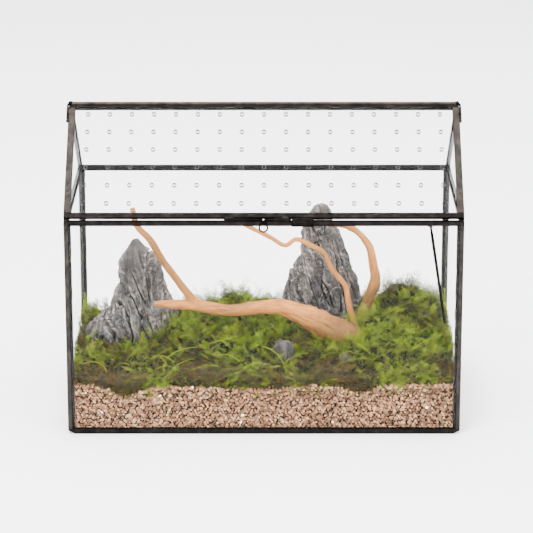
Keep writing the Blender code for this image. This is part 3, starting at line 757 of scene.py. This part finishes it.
def chip_shape(rng):
    """Corners and faces of one angular chip of about unit size."""
    bm = bmesh.new()
    bmesh.ops.create_icosphere(bm, subdivisions=1, radius=0.5)
    turn = Matrix.Rotation(rng.uniform(0, math.tau), 3, "X")
    turn = Matrix.Rotation(rng.uniform(0, math.tau), 3, "Z") @ turn
    squash = Vector((1.0, rng.uniform(0.7, 0.95), rng.uniform(0.5, 0.8)))
    points = []
    for vert in bm.verts:
        point = Vector([vert.co[i] * squash[i] for i in range(3)]) * rng.uniform(0.8, 1.2)
        points.append(turn @ point)
    faces = [[v.index for v in f.verts] for f in bm.faces]
    bm.free()
    return points, faces


def grid_places(edge_x, edge_y, step):
    """Points of a square grid over the bed."""
    return [(-edge_x + i * step, -edge_y + j * step)
            for i in range(int(2 * edge_x / step) + 1)
            for j in range(int(2 * edge_y / step) + 1)]


def wall_places(span, floor, to_point):
    """Staggered rows of chips behind one pane; to_point turns a place along it into (x, y)."""
    places = []
    count = int(2 * span / CHIP_STEP)
    for i in range(count + 1):
        along = -span + 2 * span * i / count
        levels = int((bed_top(*to_point(along)) - floor) / CHIP_LAYER)
        for k in range(levels + 1):
            shift = CHIP_STEP / 2 if k % 2 else 0
            spot = clamp(along + shift, -span, span)
            places.append((*to_point(spot), floor + 1.8 * MM + k * CHIP_LAYER))
    return places


def chip_places(edge_x, edge_y, floor):
    """Where the chips lie: behind each pane, on the floor and over the open top."""
    places = wall_places(edge_x, floor, lambda a: (a, -edge_y))
    places += wall_places(edge_x, floor, lambda a: (a, edge_y))
    places += wall_places(edge_y, floor, lambda a: (-edge_x, a))
    places += wall_places(edge_y, floor, lambda a: (edge_x, a))
    places += [(x, y, floor + 1.7 * MM) for x, y in grid_places(edge_x, edge_y, FLOOR_STEP)]
    places += [(x, y, bed_top(x, y) - 0.6 * MM) for x, y in grid_places(edge_x, edge_y, TOP_STEP)
               if y < -0.080 or abs(x) > 0.180 or y > 0.088]
    return places


def build_gravel():
    rng = random.Random(GRAVEL_SEED)
    shapes = [chip_shape(rng) for _ in range(CHIP_SHAPES)]
    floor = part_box("gravel_bed")[0].z
    edge_x, edge_y = INNER_X - 2.3 * MM, INNER_Y - 2.3 * MM
    slack = 0.6 * MM
    limit_x, limit_y = INNER_X - 0.1 * MM, INNER_Y - 0.1 * MM
    verts, faces, tints = [], [], []
    for place in chip_places(edge_x, edge_y, floor):
        points, sides = shapes[rng.randrange(len(shapes))]
        size = rng.uniform(3.0, 4.6) * MM
        center = Vector(place) + draw(rng, *[(-0.8, 0.8)] * 3) * MM
        center.x = clamp(center.x, -edge_x - slack, edge_x + slack)
        center.y = clamp(center.y, -edge_y - slack, edge_y + slack)
        center.z = max(center.z, floor + 1.5 * MM)
        turn = Matrix.Rotation(rng.uniform(0, math.tau), 3, "Y")
        palette = ODD_COLORS if rng.random() < ODD_SHARE else CHIP_COLORS
        color = paint(*palette[rng.randrange(len(palette))])
        shade = rng.uniform(0.82, 1.12)
        start = len(verts)
        for point in points:
            spot = center + turn @ point * size
            verts.append((clamp(spot.x, -limit_x, limit_x), clamp(spot.y, -limit_y, limit_y),
                          max(spot.z, floor)))
            tints.append(tuple(c * shade for c in color))
        faces += [[start + k for k in side] for side in sides]
    finish_piece(tinted_object("gravel_chips", verts, faces, tints, CHIP), "gravel_bed")
    # A dark solid just under the chips, as painted shade in their gaps.
    gap_shade_core = closed_field("gravel_core_painted_shade", edge_x - 1.0 * MM, edge_y - 1.0 * MM, floor + 1.6 * MM,
                        lambda x, y: bed_top(x, y) - 3.0 * MM, BED_GAP_SHADE, 6 * MM)
    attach(gap_shade_core, "tank")


def closed_field(name, half_x, half_y, floor, height, material, step):
    """A solid with a flat floor and a top that follows height(x, y)."""
    nx, ny = int(2 * half_x / step), int(2 * half_y / step)
    bm = bmesh.new()
    rim = [(0, i) for i in range(nx)] + [(j, nx) for j in range(ny)]
    rim += [(ny, i) for i in range(nx, 0, -1)] + [(j, 0) for j in range(ny, 0, -1)]
    top, low = {}, {}
    for j in range(ny + 1):
        y = -half_y + 2 * half_y * j / ny
        for i in range(nx + 1):
            x = -half_x + 2 * half_x * i / nx
            top[j, i] = bm.verts.new((x, y, max(height(x, y), floor + MM)))
            if i in (0, nx) or j in (0, ny):
                low[j, i] = bm.verts.new((x, y, floor))
    for j in range(ny):
        for i in range(nx):
            bm.faces.new((top[j, i], top[j, i + 1], top[j + 1, i + 1], top[j + 1, i]))
    for here, there in zip(rim, rim[1:] + rim[:1]):
        bm.faces.new((top[here], top[there], low[there], low[here]))
    bm.faces.new([low[place] for place in rim])
    split_large_faces(bm)
    return object_from_bmesh(name, bm, material, smooth_angle=60)


# ---------------------------------------------------------------- moss

MOSS_SEED = 23
MOSS_FLOOR = 36 * MM
FROND_STEPS = 8
STRAND_STEPS = 10
LEAF_WIDTH = 0.52 * MM
STEM_WIDTH = 0.30 * MM
TIP_BOOST = 1.34
BRIGHT_TIPS = [(176, 188, 66), (168, 184, 60), (186, 196, 84), (160, 170, 58), (194, 202, 98)]
OLIVE_TIPS = [(132, 130, 60), (122, 122, 56), (142, 140, 66), (108, 106, 52)]
DRY_TIPS = [(136, 112, 74), (118, 96, 66), (148, 126, 82), (102, 86, 60)]
DEEP_BASES = [(44, 44, 18), (56, 54, 24), (48, 42, 22), (68, 64, 30)]

# Height in mm, middle and spread in metres of each mound, or dip if negative.
MOSS_MOUNDS = ((-11.0, -0.150, -0.030, 0.044, 0.050), (13.0, -0.086, -0.010, 0.026, 0.034),
               (9.0, -0.030, -0.052, 0.040, 0.026), (-13.0, 0.024, -0.066, 0.026, 0.034),
               (26.0, -0.028, 0.048, 0.042, 0.036), (38.0, 0.150, 0.052, 0.037, 0.046),
               (23.0, 0.116, -0.014, 0.020, 0.022), (-6.0, -0.168, 0.008, 0.030, 0.032),
               (7.0, 0.140, -0.050, 0.040, 0.034), (-12.0, -0.140, 0.078, 0.060, 0.050),
               (8.0, -0.186, 0.060, 0.010, 0.024))

MOSS_REGIONS = {
    "front_left": lambda x, y: x < -0.085 and y < 0.010,
    "front_middle": lambda x, y: -0.085 <= x < 0.015 and y < -0.020,
    "front_center": lambda x, y: 0.015 <= x < 0.085 and y < -0.020,
    "front_right": lambda x, y: x >= 0.085 and y < -0.012,
    "rear_left": lambda x, y: x < -0.085,
    "rear_middle": lambda x, y: x < 0.085,
    "rear_right": lambda x, y: True,
}

STONE_NODES = [node for node, slot in SLOT_OF.items() if slot == "stone"]
STONE_BOXES = [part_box(node) for node in STONE_NODES]


def moss_region(x, y):
    return next(name for name, test in MOSS_REGIONS.items() if test(x, y))


def moss_top(x, y):
    """Height of the moss carpet away from the front glass, without its fronds."""
    rise = 3.0 + 17.0 * smooth_step((y + 0.104) / 0.060)
    for height, *place in MOSS_MOUNDS:
        rise += height * bump_at(x, y, *place)
    lumps = 5.5 * noise.noise(Vector((x * 42, y * 42, 1.3)))
    lumps += 3.0 * noise.noise(Vector((x * 110, y * 110, 5.1)))
    return 0.050 + max(rise + lumps * clamp(rise / 14), 1.0) * MM


def carpet_height(x, y):
    """The carpet thins out and stops a little behind the front glass."""
    edge = smooth_step((y + 0.106) / 0.016)
    level = moss_top(x, y)
    ground = bed_top(x, y) - 5.0 * MM
    return ground + (level - ground) * edge


def moss_mood(x, y, z):
    """Which stretches are fresh and which are old: -1 dry to +1 bright."""
    mood = 1.5 * noise.noise(Vector((x * 24 + 3, y * 24, z * 30)))
    mood += 0.8 * noise.noise(Vector((x * 62, y * 62 + 5, z * 60)))
    return mood + 0.35 * clamp((z - 0.066) / 0.016, -1.6, 1.0)


def inside_stone(x, y, z, spread=1.0):
    """Whether a root would stand in a stone; the tall stones also keep a margin."""
    for low, high in STONE_BOXES:
        grow = 0.84 * spread if high.z > 0.10 else 0.62
        level = clamp((z - low.z) / (high.z - low.z))
        cx, cy = (low.x + high.x) / 2, (low.y + high.y) / 2
        rx = (high.x - low.x) / 2 * grow * (1 - 0.6 * level)
        ry = (high.y - low.y) / 2 * grow * (1 - 0.6 * level)
        if ((x - cx) / rx) ** 2 + ((y - cy) / ry) ** 2 < 1:
            return True
    return False


def frond_colors(rng, mood):
    pick = mood + rng.uniform(-0.35, 0.35)
    if pick > -0.02:
        tip = rng.choice(BRIGHT_TIPS)
    elif pick > -0.50:
        tip = rng.choice(OLIVE_TIPS)
    else:
        tip = rng.choice(DRY_TIPS)
    return paint(*tip, TIP_BOOST), paint(*rng.choice(DEEP_BASES))


def add_frond(rng, sheaves, root, heading, length, mood):
    """One feathery shoot: a thin stem with pairs of narrow leaflets that shorten to the tip."""
    verts, faces, tints = sheaves[moss_region(root[0], root[1])]
    up = Vector((0, 0, 1))
    tip_color, base_color = frond_colors(rng, mood)
    point = Vector(root)
    direction = heading.normalized()
    droop = rng.uniform(0.05, 0.34)
    side = direction.cross(up)
    if side.length < 0.05:
        side = Vector((1, 0, 0))
    side.normalize()
    side = Matrix.Rotation(rng.uniform(-1.2, 1.2), 3, direction) @ side
    width = length * rng.uniform(0.14, 0.24)
    previous = None
    bend = Vector((rng.uniform(-1, 1), rng.uniform(-1, 1), 0)) * 0.10
    for n in range(FROND_STEPS + 1):
        t = n / FROND_STEPS
        color = blend(base_color, tip_color, t ** 1.25)
        taper = STEM_WIDTH * (1.2 - t)
        start = len(verts)
        verts += [point + side * taper, point - side * taper]
        tints += [color, color]
        if previous is not None:
            faces.append((previous, previous + 1, start + 1, start))
        previous = start
        reach = width * math.sin(math.pi * (0.12 + 0.82 * t)) * rng.uniform(0.6, 1.2)
        forward = direction * reach * rng.uniform(0.6, 1.2)
        for sign in (-1, 1):
            leaf = len(verts)
            tip = point + side * sign * reach + forward + up * rng.uniform(-0.2, 0.3) * reach
            wide = direction * LEAF_WIDTH * (1.25 - 0.6 * t)
            middle = point + (tip - point) * 0.55
            verts += [point.copy(), middle + wide, tip, middle - wide]
            glow = rng.uniform(0.85, 1.45)
            tints += [color, color, tuple(c * glow for c in color), color]
            faces.append((leaf, leaf + 1, leaf + 2, leaf + 3))
        point = point + direction * (length / FROND_STEPS)
        direction = (direction - up * droop * 0.5 * t + bend).normalized()
        side = (side - direction * side.dot(direction)).normalized()


def add_strand(rng, sheaves, root, heading, length, radius, color, sag):
    """A bare, wandering moss stem drawn as a thin three-sided thread."""
    verts, faces, tints = sheaves[moss_region(root[0], root[1])]
    point = Vector(root)
    direction = heading.normalized()
    wander = draw(rng, (-1, 1), (-0.4, 0.4), (-1, 1))
    previous = None
    for n in range(STRAND_STEPS + 1):
        t = n / STRAND_STEPS
        across = direction.orthogonal().normalized()
        over = direction.cross(across)
        size = radius * (1.1 - 0.8 * t)
        start = len(verts)
        shade = rng.uniform(0.75, 1.2)
        for k in range(3):
            turn = math.tau * k / 3
            verts.append(point + (across * math.cos(turn) + over * math.sin(turn)) * size)
            tints.append(tuple(c * shade for c in color))
        if previous is not None:
            for k in range(3):
                j = (k + 1) % 3
                faces.append((previous + k, previous + j, start + j, start + k))
        previous = start
        point = point + direction * (length / STRAND_STEPS)
        direction = (direction + wander * 0.10 - Vector((0, 0, sag * 0.16))).normalized()


def front_heading(rng, low_edge):
    """Towards the front glass; fronds along the low front edge also hang."""
    lift = rng.uniform(-0.7, 0.6) if low_edge else rng.uniform(0.05, 1.2)
    return Vector((rng.uniform(-1, 1), rng.uniform(-1.1, 0.4), lift))


def carpet_fronds(rng, sheaves, half_x, half_y):
    """Fronds all over the carpet, short in its low places and beside the tall stones."""
    step = 4.0 * MM
    for i in range(int(2 * half_x / step) + 1):
        for j in range(int(2 * half_y / step) + 1):
            x = -half_x + i * step + rng.uniform(-1.8, 1.8) * MM
            y = -half_y + j * step + rng.uniform(-1.8, 1.8) * MM
            z = carpet_height(x, y)
            if inside_stone(x, y, z):
                continue
            low_edge = y < -0.092
            mood = moss_mood(x, y, z) - (0.15 if low_edge else 0.0)
            length = rng.uniform(12, 22) * MM if low_edge else rng.uniform(11, 27) * MM
            length *= 0.55 + 0.45 * clamp((z - 0.052) / 0.014)
            if inside_stone(x, y, z, 1.35):
                length *= 0.6
            add_frond(rng, sheaves, (x, y, z - 1.5 * MM), front_heading(rng, low_edge), length,
                      mood)


def front_fronds(rng, sheaves, half_x):
    """Fronds pressed against the front glass."""
    for _ in range(950):
        x = rng.uniform(-half_x, half_x)
        y = rng.uniform(-0.101, -0.096)
        z = rng.uniform(bed_top(x, y), carpet_height(x, y + 0.020) + 0.004)
        mood = moss_mood(x, y, z) - 0.1
        heading = front_heading(rng, True)
        add_frond(rng, sheaves, (x, y, z), heading, rng.uniform(10, 20) * MM, mood)


def wall_fronds(rng, half_x, half_y):
    """Roots, headings and moods of fronds pressed against the left, right and rear glass."""
    fronds = []
    for side, count in ((-1, 480), (1, 480), (0, 900)):
        for _ in range(count):
            inward = rng.uniform(-1, 4) * MM
            if side:
                x, y = side * (half_x - inward), rng.uniform(-half_y, half_y)
            else:
                x, y = rng.uniform(-half_x, half_x), half_y - inward
            top = carpet_height(x, y)
            z = rng.uniform(bed_top(x, y) - 1 * MM, top + 2 * MM)
            heading = draw(rng, (-1, 1), (-1, 1), (-0.5, 0.8))
            if side:
                heading.x = side * rng.uniform(0.0, 0.5)
            else:
                heading.y = rng.uniform(0.0, 0.5)
            mood = moss_mood(x, y, z) - 0.25 * clamp((top - z) / 0.010)
            fronds.append(((x, y, z), heading, mood))
    return fronds


def trunk_fronds(rng, sheaves):
    """A clump that hides the buried end of the driftwood trunk."""
    for _ in range(90):
        root = draw(rng, (0.088, 0.116), (-0.050, -0.038), (0.056, 0.070))
        heading = draw(rng, (-0.7, 0.5), (-0.5, 0.3), (0.3, 1.2))
        add_frond(rng, sheaves, root, heading, rng.uniform(12, 22) * MM, rng.uniform(-0.5, 0.7))


def loose_strands(rng, sheaves, half_x):
    """Old brown stems behind the front glass, then long green ones over the carpet."""
    for _ in range(420):
        x = rng.uniform(-half_x + 0.01, half_x - 0.01)
        y = rng.uniform(-0.101, -0.088)
        z = rng.uniform(0.050, carpet_height(x, y + 0.016) + 0.004)
        heading = draw(rng, (-1, 1), (-0.12, 0.05), (-0.45, 0.45))
        color = paint(*rng.choice(DRY_TIPS + OLIVE_TIPS[:1]))
        add_strand(rng, sheaves, (x, y, z), heading, rng.uniform(14, 36) * MM,
                   rng.uniform(0.22, 0.42) * MM, color, 0.3)
    for _ in range(55):
        x = rng.uniform(-half_x + 0.02, half_x - 0.02)
        y = rng.uniform(-0.094, -0.050)
        z = carpet_height(x, y) + rng.uniform(4, 12) * MM
        if inside_stone(x, y, z):
            continue
        heading = draw(rng, (-1, 1), (-0.3, 0.1), (-0.5, 0.6))
        color = paint(*rng.choice(BRIGHT_TIPS + OLIVE_TIPS), 1.1)
        add_strand(rng, sheaves, (x, y, z), heading, rng.uniform(22, 46) * MM,
                   rng.uniform(0.26, 0.42) * MM, color, 0.7)


def build_moss():
    rng = random.Random(MOSS_SEED)
    carpet = closed_field("moss_carpet", INNER_X - 7 * MM, INNER_Y - 7 * MM, 40 * MM,
                          carpet_height, THATCH, 4 * MM)
    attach(carpet, "tank")
    sheaves = {name: ([], [], []) for name in MOSS_REGIONS}
    half_x, half_y = INNER_X - 3 * MM, INNER_Y - 3 * MM
    carpet_fronds(rng, sheaves, half_x, half_y)
    front_fronds(rng, sheaves, half_x)
    for root, heading, mood in wall_fronds(rng, half_x, half_y):
        add_frond(rng, sheaves, root, heading, rng.uniform(10, 20) * MM, mood)
    trunk_fronds(rng, sheaves)
    loose_strands(rng, sheaves, half_x)
    for name, (verts, faces, tints) in sheaves.items():
        for vert in verts:
            margin = rng.uniform(0.2, 1.6) * MM
            vert.x = clamp(vert.x, -INNER_X + margin, INNER_X - margin)
            vert.y = clamp(vert.y, -INNER_Y + margin, INNER_Y - margin)
            vert.z = max(vert.z, MOSS_FLOOR)
        obj = tinted_object("moss_fronds_" + name, verts, faces, tints, FROND)
        finish_piece(obj, "moss_" + name)


# ---------------------------------------------------------------- stones

# Noise seed, subdivision levels and carving depth in mm.
STONE_CARVING = {"stone_left": (1.0, 5, 3.7), "stone_right": (2.0, 5, 3.9),
                 "stone_small_front": (3.0, 4, 2.6), "stone_small_middle": (4.0, 4, 2.4),
                 "stone_small_right": (5.0, 4, 2.2)}
FLATS = 11


def ridged(point, scale, octaves=4):
    """Layered noise with sharp crests."""
    total, weight, size = 0.0, 1.0, scale
    for _ in range(octaves):
        total += weight * (1 - abs(noise.noise(point * size)) * 2)
        weight *= 0.5
        size *= 2.1
    return total / 1.9


def splitting_planes(seed, low, high):
    """Planes that cut a small stone into flats."""
    rng = random.Random(int(seed) + 40)
    half = (high - low) / 2
    planes = []
    for _ in range(FLATS):
        normal = draw(rng, (-1, 1), (-1, 1), (-1, 1)).normalized()
        reach = Vector([normal[i] * half[i] for i in range(3)]).length
        planes.append((normal, reach * rng.uniform(0.62, 0.84)))
    return planes


def left_outline(point, tip):
    """The left stone's broad shoulder below its tip, and the foot that runs out to the left."""
    drop = tip.z - point.z
    wide = 1 + 0.36 * math.exp(-((drop - 0.021) / 0.016) ** 2)
    foot = 0.021 * smooth_step((drop - 0.072) / 0.038) * clamp((tip.x + 0.010 - point.x) / 0.030)
    return Vector((tip.x + (point.x - tip.x) * wide - foot, point.y, point.z))


def carving(point, shift, middle):
    """How far the skin stands out or in: leaning ridges, cracks, chips and terraces."""
    lean = 0.30 * (point.z - middle.z)
    tilt = Vector((point.x + lean, point.y - lean * 0.5, point.z * 0.24))
    ridge = ridged(tilt + shift, 38.0) - 0.42
    crack = abs(noise.noise(tilt * 78 + shift))
    cut = -1.1 * (1 - smooth_step(crack / 0.12))
    blade = (1 - abs(noise.noise(tilt * 130 + shift)) * 2.2) * 0.30
    chip = noise.noise(point * 240 + shift) * 0.30 + noise.noise(point * 520 + shift) * 0.16
    terrace = noise.noise(Vector((point.x * 24, point.y * 24, point.z * 95)) + shift) * 0.5
    return ridge * 1.3 + cut + blade + chip + terrace


def subdivided(obj, levels):
    """The object's mesh after smooth subdivision."""
    soften = obj.modifiers.new("soften", "SUBSURF")
    soften.subdivision_type = "CATMULL_CLARK"
    soften.levels = levels
    bpy.context.view_layer.update()
    graph = bpy.context.evaluated_depsgraph_get()
    mesh = bpy.data.meshes.new_from_object(obj.evaluated_get(graph))
    obj.modifiers.clear()
    return mesh


def build_stone(node, seed, levels, strength):
    """The CAD stone, subdivided and carved with steep ridges and cracks."""
    small = node.startswith("stone_small")
    # Small stones take the darker copy of the stone: painted shade.
    obj = object_from_bmesh("carved_" + node, welded_copy(node), SHADED_STONE if small else STONE)
    obj.data = mesh = subdivided(obj, levels)
    low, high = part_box(node)
    middle = (low + high) / 2
    normals = [v.normal.copy() for v in mesh.vertices]
    shift = Vector((seed * 3.1, seed * 1.7, seed * 0.9))
    planes = splitting_planes(seed, low, high) if small else []
    tip = max((v.co.copy() for v in mesh.vertices), key=lambda co: co.z)
    for vert, normal in zip(mesh.vertices, normals):
        point = left_outline(vert.co, tip) if node == "stone_left" else vert.co.copy()
        for across, reach in planes:
            past = (point - middle).dot(across) - reach
            point -= across * max(0.0, past)
        near_top = smooth_step((high.z - point.z) / 0.030)
        vert.co = point + normal * strength * carving(point, shift, middle) * (0.55 + 0.45 * near_top)
    mesh.shade_smooth()
    mesh.set_sharp_from_angle(angle=math.radians(38))
    mesh.update()
    finish_piece(obj, node)


# ---------------------------------------------------------------- driftwood

# Points along each branch in mm, each with its radius.
TRUNK = [(-114, -27, 113, 2.2), (-98, -27, 112.5, 3.6), (-75, -26, 111, 5), (-52, -25, 107, 5.4),
         (-34, -25, 105, 5.5), (-12, -25, 107.5, 5.8), (6, -25, 109, 6.2), (22, -25, 107.5, 7.5),
         (37, -25, 102, 9), (52, -25, 95, 10.6), (68, -25, 86, 12), (84, -25, 78, 12.6),
         (98, -25, 70, 12)]
LEFT_BRANCH = [(-70, -25.5, 110, 4.6), (-77, -25, 120, 3.7), (-90, -24, 138, 3.4),
               (-106, -22, 160, 3.2), (-118, -20, 180, 3.1), (-131, -18, 194, 2.8),
               (-136, -16, 213, 2.3)]
MIDDLE_BRANCH = [(98, -10, 70, 3.6), (94, -8, 88, 2.7), (88, -8, 110, 2.5), (85, -8, 126, 2.4),
                 (71, -8, 145, 2.3), (63, -8, 162, 2.2), (52, -8, 169, 2.2), (34, -8, 177, 2.1),
                 (22, -8, 170.5, 2), (7, -8, 179, 2), (-22, -6, 193.5, 1.8), (-40, -4, 203, 0.9)]
RIGHT_BRANCH = [(100, 2, 78, 6.4), (107, 5, 99, 5.2), (116, 5, 127, 4.9), (115, 5, 143, 4.2),
                (109, 5, 167, 3.4), (91, 5, 186, 2.8), (68, 5, 190, 2.4), (37, 5, 188, 1.1)]

# Route, noise seed and knots: each has a place along the branch, a height and an angle round it.
BRANCHES = {"driftwood_trunk": (TRUNK, 1.0, ((0.045, 0.5, 1.2), (0.120, 0.35, 2.6),
                                             (0.185, 0.3, 4.4))),
            "driftwood_branch_left": (LEFT_BRANCH, 2.0, ((0.070, 0.4, 0.8),)),
            "driftwood_branch_middle": (MIDDLE_BRANCH, 3.0, ((0.105, 0.6, 2.0),)),
            "driftwood_branch_right": (RIGHT_BRANCH, 4.0, ((0.046, 0.8, 0.2), (0.12, 0.4, 3.0)))}
BRANCH_SIDES = 22
BRANCH_STEPS = 12
BRANCH_SWELL = 1.1
WOOD_DARK = paint(156, 122, 60)
WOOD_PALE = paint(208, 172, 98)
# Darker brown towards the low end of each branch, near the moss: painted shade.
WOOD_LOW_SHADE = paint(122, 84, 58)
LOW_SHADE_SHARE = 0.55


def spline_point(points, position):
    """Catmull-Rom through rows of (x, y, z, radius)."""
    count = len(points) - 1
    index = min(int(position), count - 1)
    t = position - index
    rows = [points[max(0, min(count, index + k))] for k in (-1, 0, 1, 2)]
    result = []
    for a, b, c, d in zip(*rows):
        result.append(0.5 * (2 * b + (c - a) * t + (2 * a - 5 * b + 4 * c - d) * t * t
                             + (3 * b - a - 3 * c + d) * t ** 3))
    return result


def skin_reach(turn, length, seed, radius, knots):
    """How far the bark stands from the branch's middle, as a share of the radius."""
    twist = turn + length * 18
    around = Vector((math.cos(twist) * 1.6, math.sin(twist) * 1.6, length * 22 + seed))
    groove = noise.noise(around * 1.6) * 0.20 + noise.noise(around * 4.0) * 0.09
    swell = noise.noise(Vector((seed, length * 45, 2))) * 0.12
    bulge = 0.0
    for place, size, angle in knots:
        away = (length - place) / (0.9 * radius)
        bulge += size * math.exp(-away * away) * max(0.0, math.cos(turn - angle)) ** 3
    return 1 + groove + swell + bulge


def build_branch(node, points, seed, knots):
    """A branch with a ridged, twisting skin, knots and a worn tip."""
    steps = (len(points) - 1) * BRANCH_STEPS
    rows, radii = [], []
    for n in range(steps + 1):
        x, y, z, radius = spline_point(points, n / BRANCH_STEPS)
        rows.append(Vector((x, y, z)) * MM)
        radii.append(max(radius * BRANCH_SWELL, 0.5) * MM)
    bm = bmesh.new()
    rings, lengths, tints = [], [], []
    side = None
    length = 0.0
    for n, (center, radius) in enumerate(zip(rows, radii)):
        tangent = (rows[min(n + 1, steps)] - rows[max(n - 1, 0)]).normalized()
        if side is None:
            side = tangent.orthogonal().normalized()
        side = (side - tangent * side.dot(tangent)).normalized()
        up = tangent.cross(side)
        if n:
            length += (center - rows[n - 1]).length
        # Darker towards the bottom, below about 94 mm: painted shade.
        low_shade = LOW_SHADE_SHARE * smooth_step((0.094 - center.z) / 0.030)
        ring = []
        for k in range(BRANCH_SIDES):
            turn = math.tau * k / BRANCH_SIDES
            reach = radius * skin_reach(turn, length, seed, radius, knots)
            ring.append(bm.verts.new(center + reach * (math.cos(turn) * side + math.sin(turn) * up)))
            tone = clamp(0.5 + noise.noise(Vector((length * 16, seed, k * 0.05))) * 1.2)
            tints.append(blend(blend(WOOD_DARK, WOOD_PALE, tone), WOOD_LOW_SHADE, low_shade))
        rings.append(ring)
        lengths.append(length)
    uv = bm.loops.layers.uv.new("grain")
    for n, (one, two) in enumerate(zip(rings, rings[1:])):
        for k in range(BRANCH_SIDES):
            j = (k + 1) % BRANCH_SIDES
            face = bm.faces.new((one[k], one[j], two[j], two[k]))
            for loop, (v, u) in zip(face.loops, ((n, k), (n, k + 1), (n + 1, k + 1), (n + 1, k))):
                loop[uv].uv = (u / BRANCH_SIDES, lengths[v] * 10)
    bm.faces.new(rings[0])
    bm.faces.new(rings[-1])
    split_large_faces(bm)
    obj = object_from_bmesh("grained_" + node, bm, WOOD, smooth_angle=70)
    add_tints(obj.data, tints)
    finish_piece(obj, node)


# ---------------------------------------------------------------- stage

FLOOR_DROP = 0.2 * MM
WORLD_STRENGTH = 3.0
AIM = Vector((0, 0, 0.12))
# Place, size in metres and power of each soft light.
LAMPS = {"key": ((-1.2, -1.8, 2.6), 1.4, 230.0), "fill": ((1.8, -1.6, 1.6), 1.8, 70.0),
         "top": ((0.0, 0.6, 2.4), 1.4, 110.0)}
CAMERA_LENS = 176.2
CAMERA_PLACE = (0.0026, -2.607, 0.951)
CAMERA_PITCH = math.radians(17.18)


def build_stage():
    """A pale floor, soft light and the camera."""
    bpy.ops.mesh.primitive_plane_add(size=60, location=(0, 0, -FLOOR_DROP))
    floor = bpy.context.object
    floor.name = "studio_floor"
    floor.data.materials.append(studio_material())
    world = bpy.data.worlds.new("studio")
    bpy.context.scene.world = world
    world.use_nodes = True
    background = world.node_tree.nodes["Background"]
    background.inputs["Color"].default_value = (1.0, 1.0, 1.0, 1.0)
    background.inputs["Strength"].default_value = WORLD_STRENGTH
    for name, (place, size, power) in LAMPS.items():
        lamp = bpy.data.lights.new(name, "AREA")
        lamp.size = size
        lamp.energy = power
        obj = bpy.data.objects.new(name, lamp)
        obj.location = place
        obj.rotation_euler = (AIM - Vector(place)).to_track_quat("-Z", "Y").to_euler()
        bpy.context.scene.collection.objects.link(obj)
    lens = bpy.data.cameras.new("camera")
    lens.lens = CAMERA_LENS
    lens.sensor_width = 36.0
    lens.clip_end = 100.0
    camera = bpy.data.objects.new("camera", lens)
    camera.rotation_euler = (math.pi / 2 - CAMERA_PITCH, 0, 0)
    camera.location = CAMERA_PLACE
    bpy.context.scene.collection.objects.link(camera)
    bpy.context.scene.camera = camera


build_frame()
build_sealant()
build_lid_pane()
build_solder()
build_gravel()
build_moss()
for stone, (stone_seed, stone_levels, carving_mm) in STONE_CARVING.items():
    build_stone(stone, stone_seed, stone_levels, carving_mm * MM)
for branch, (route, branch_seed, branch_knots) in BRANCHES.items():
    build_branch(branch, route, branch_seed, branch_knots)
build_stage()
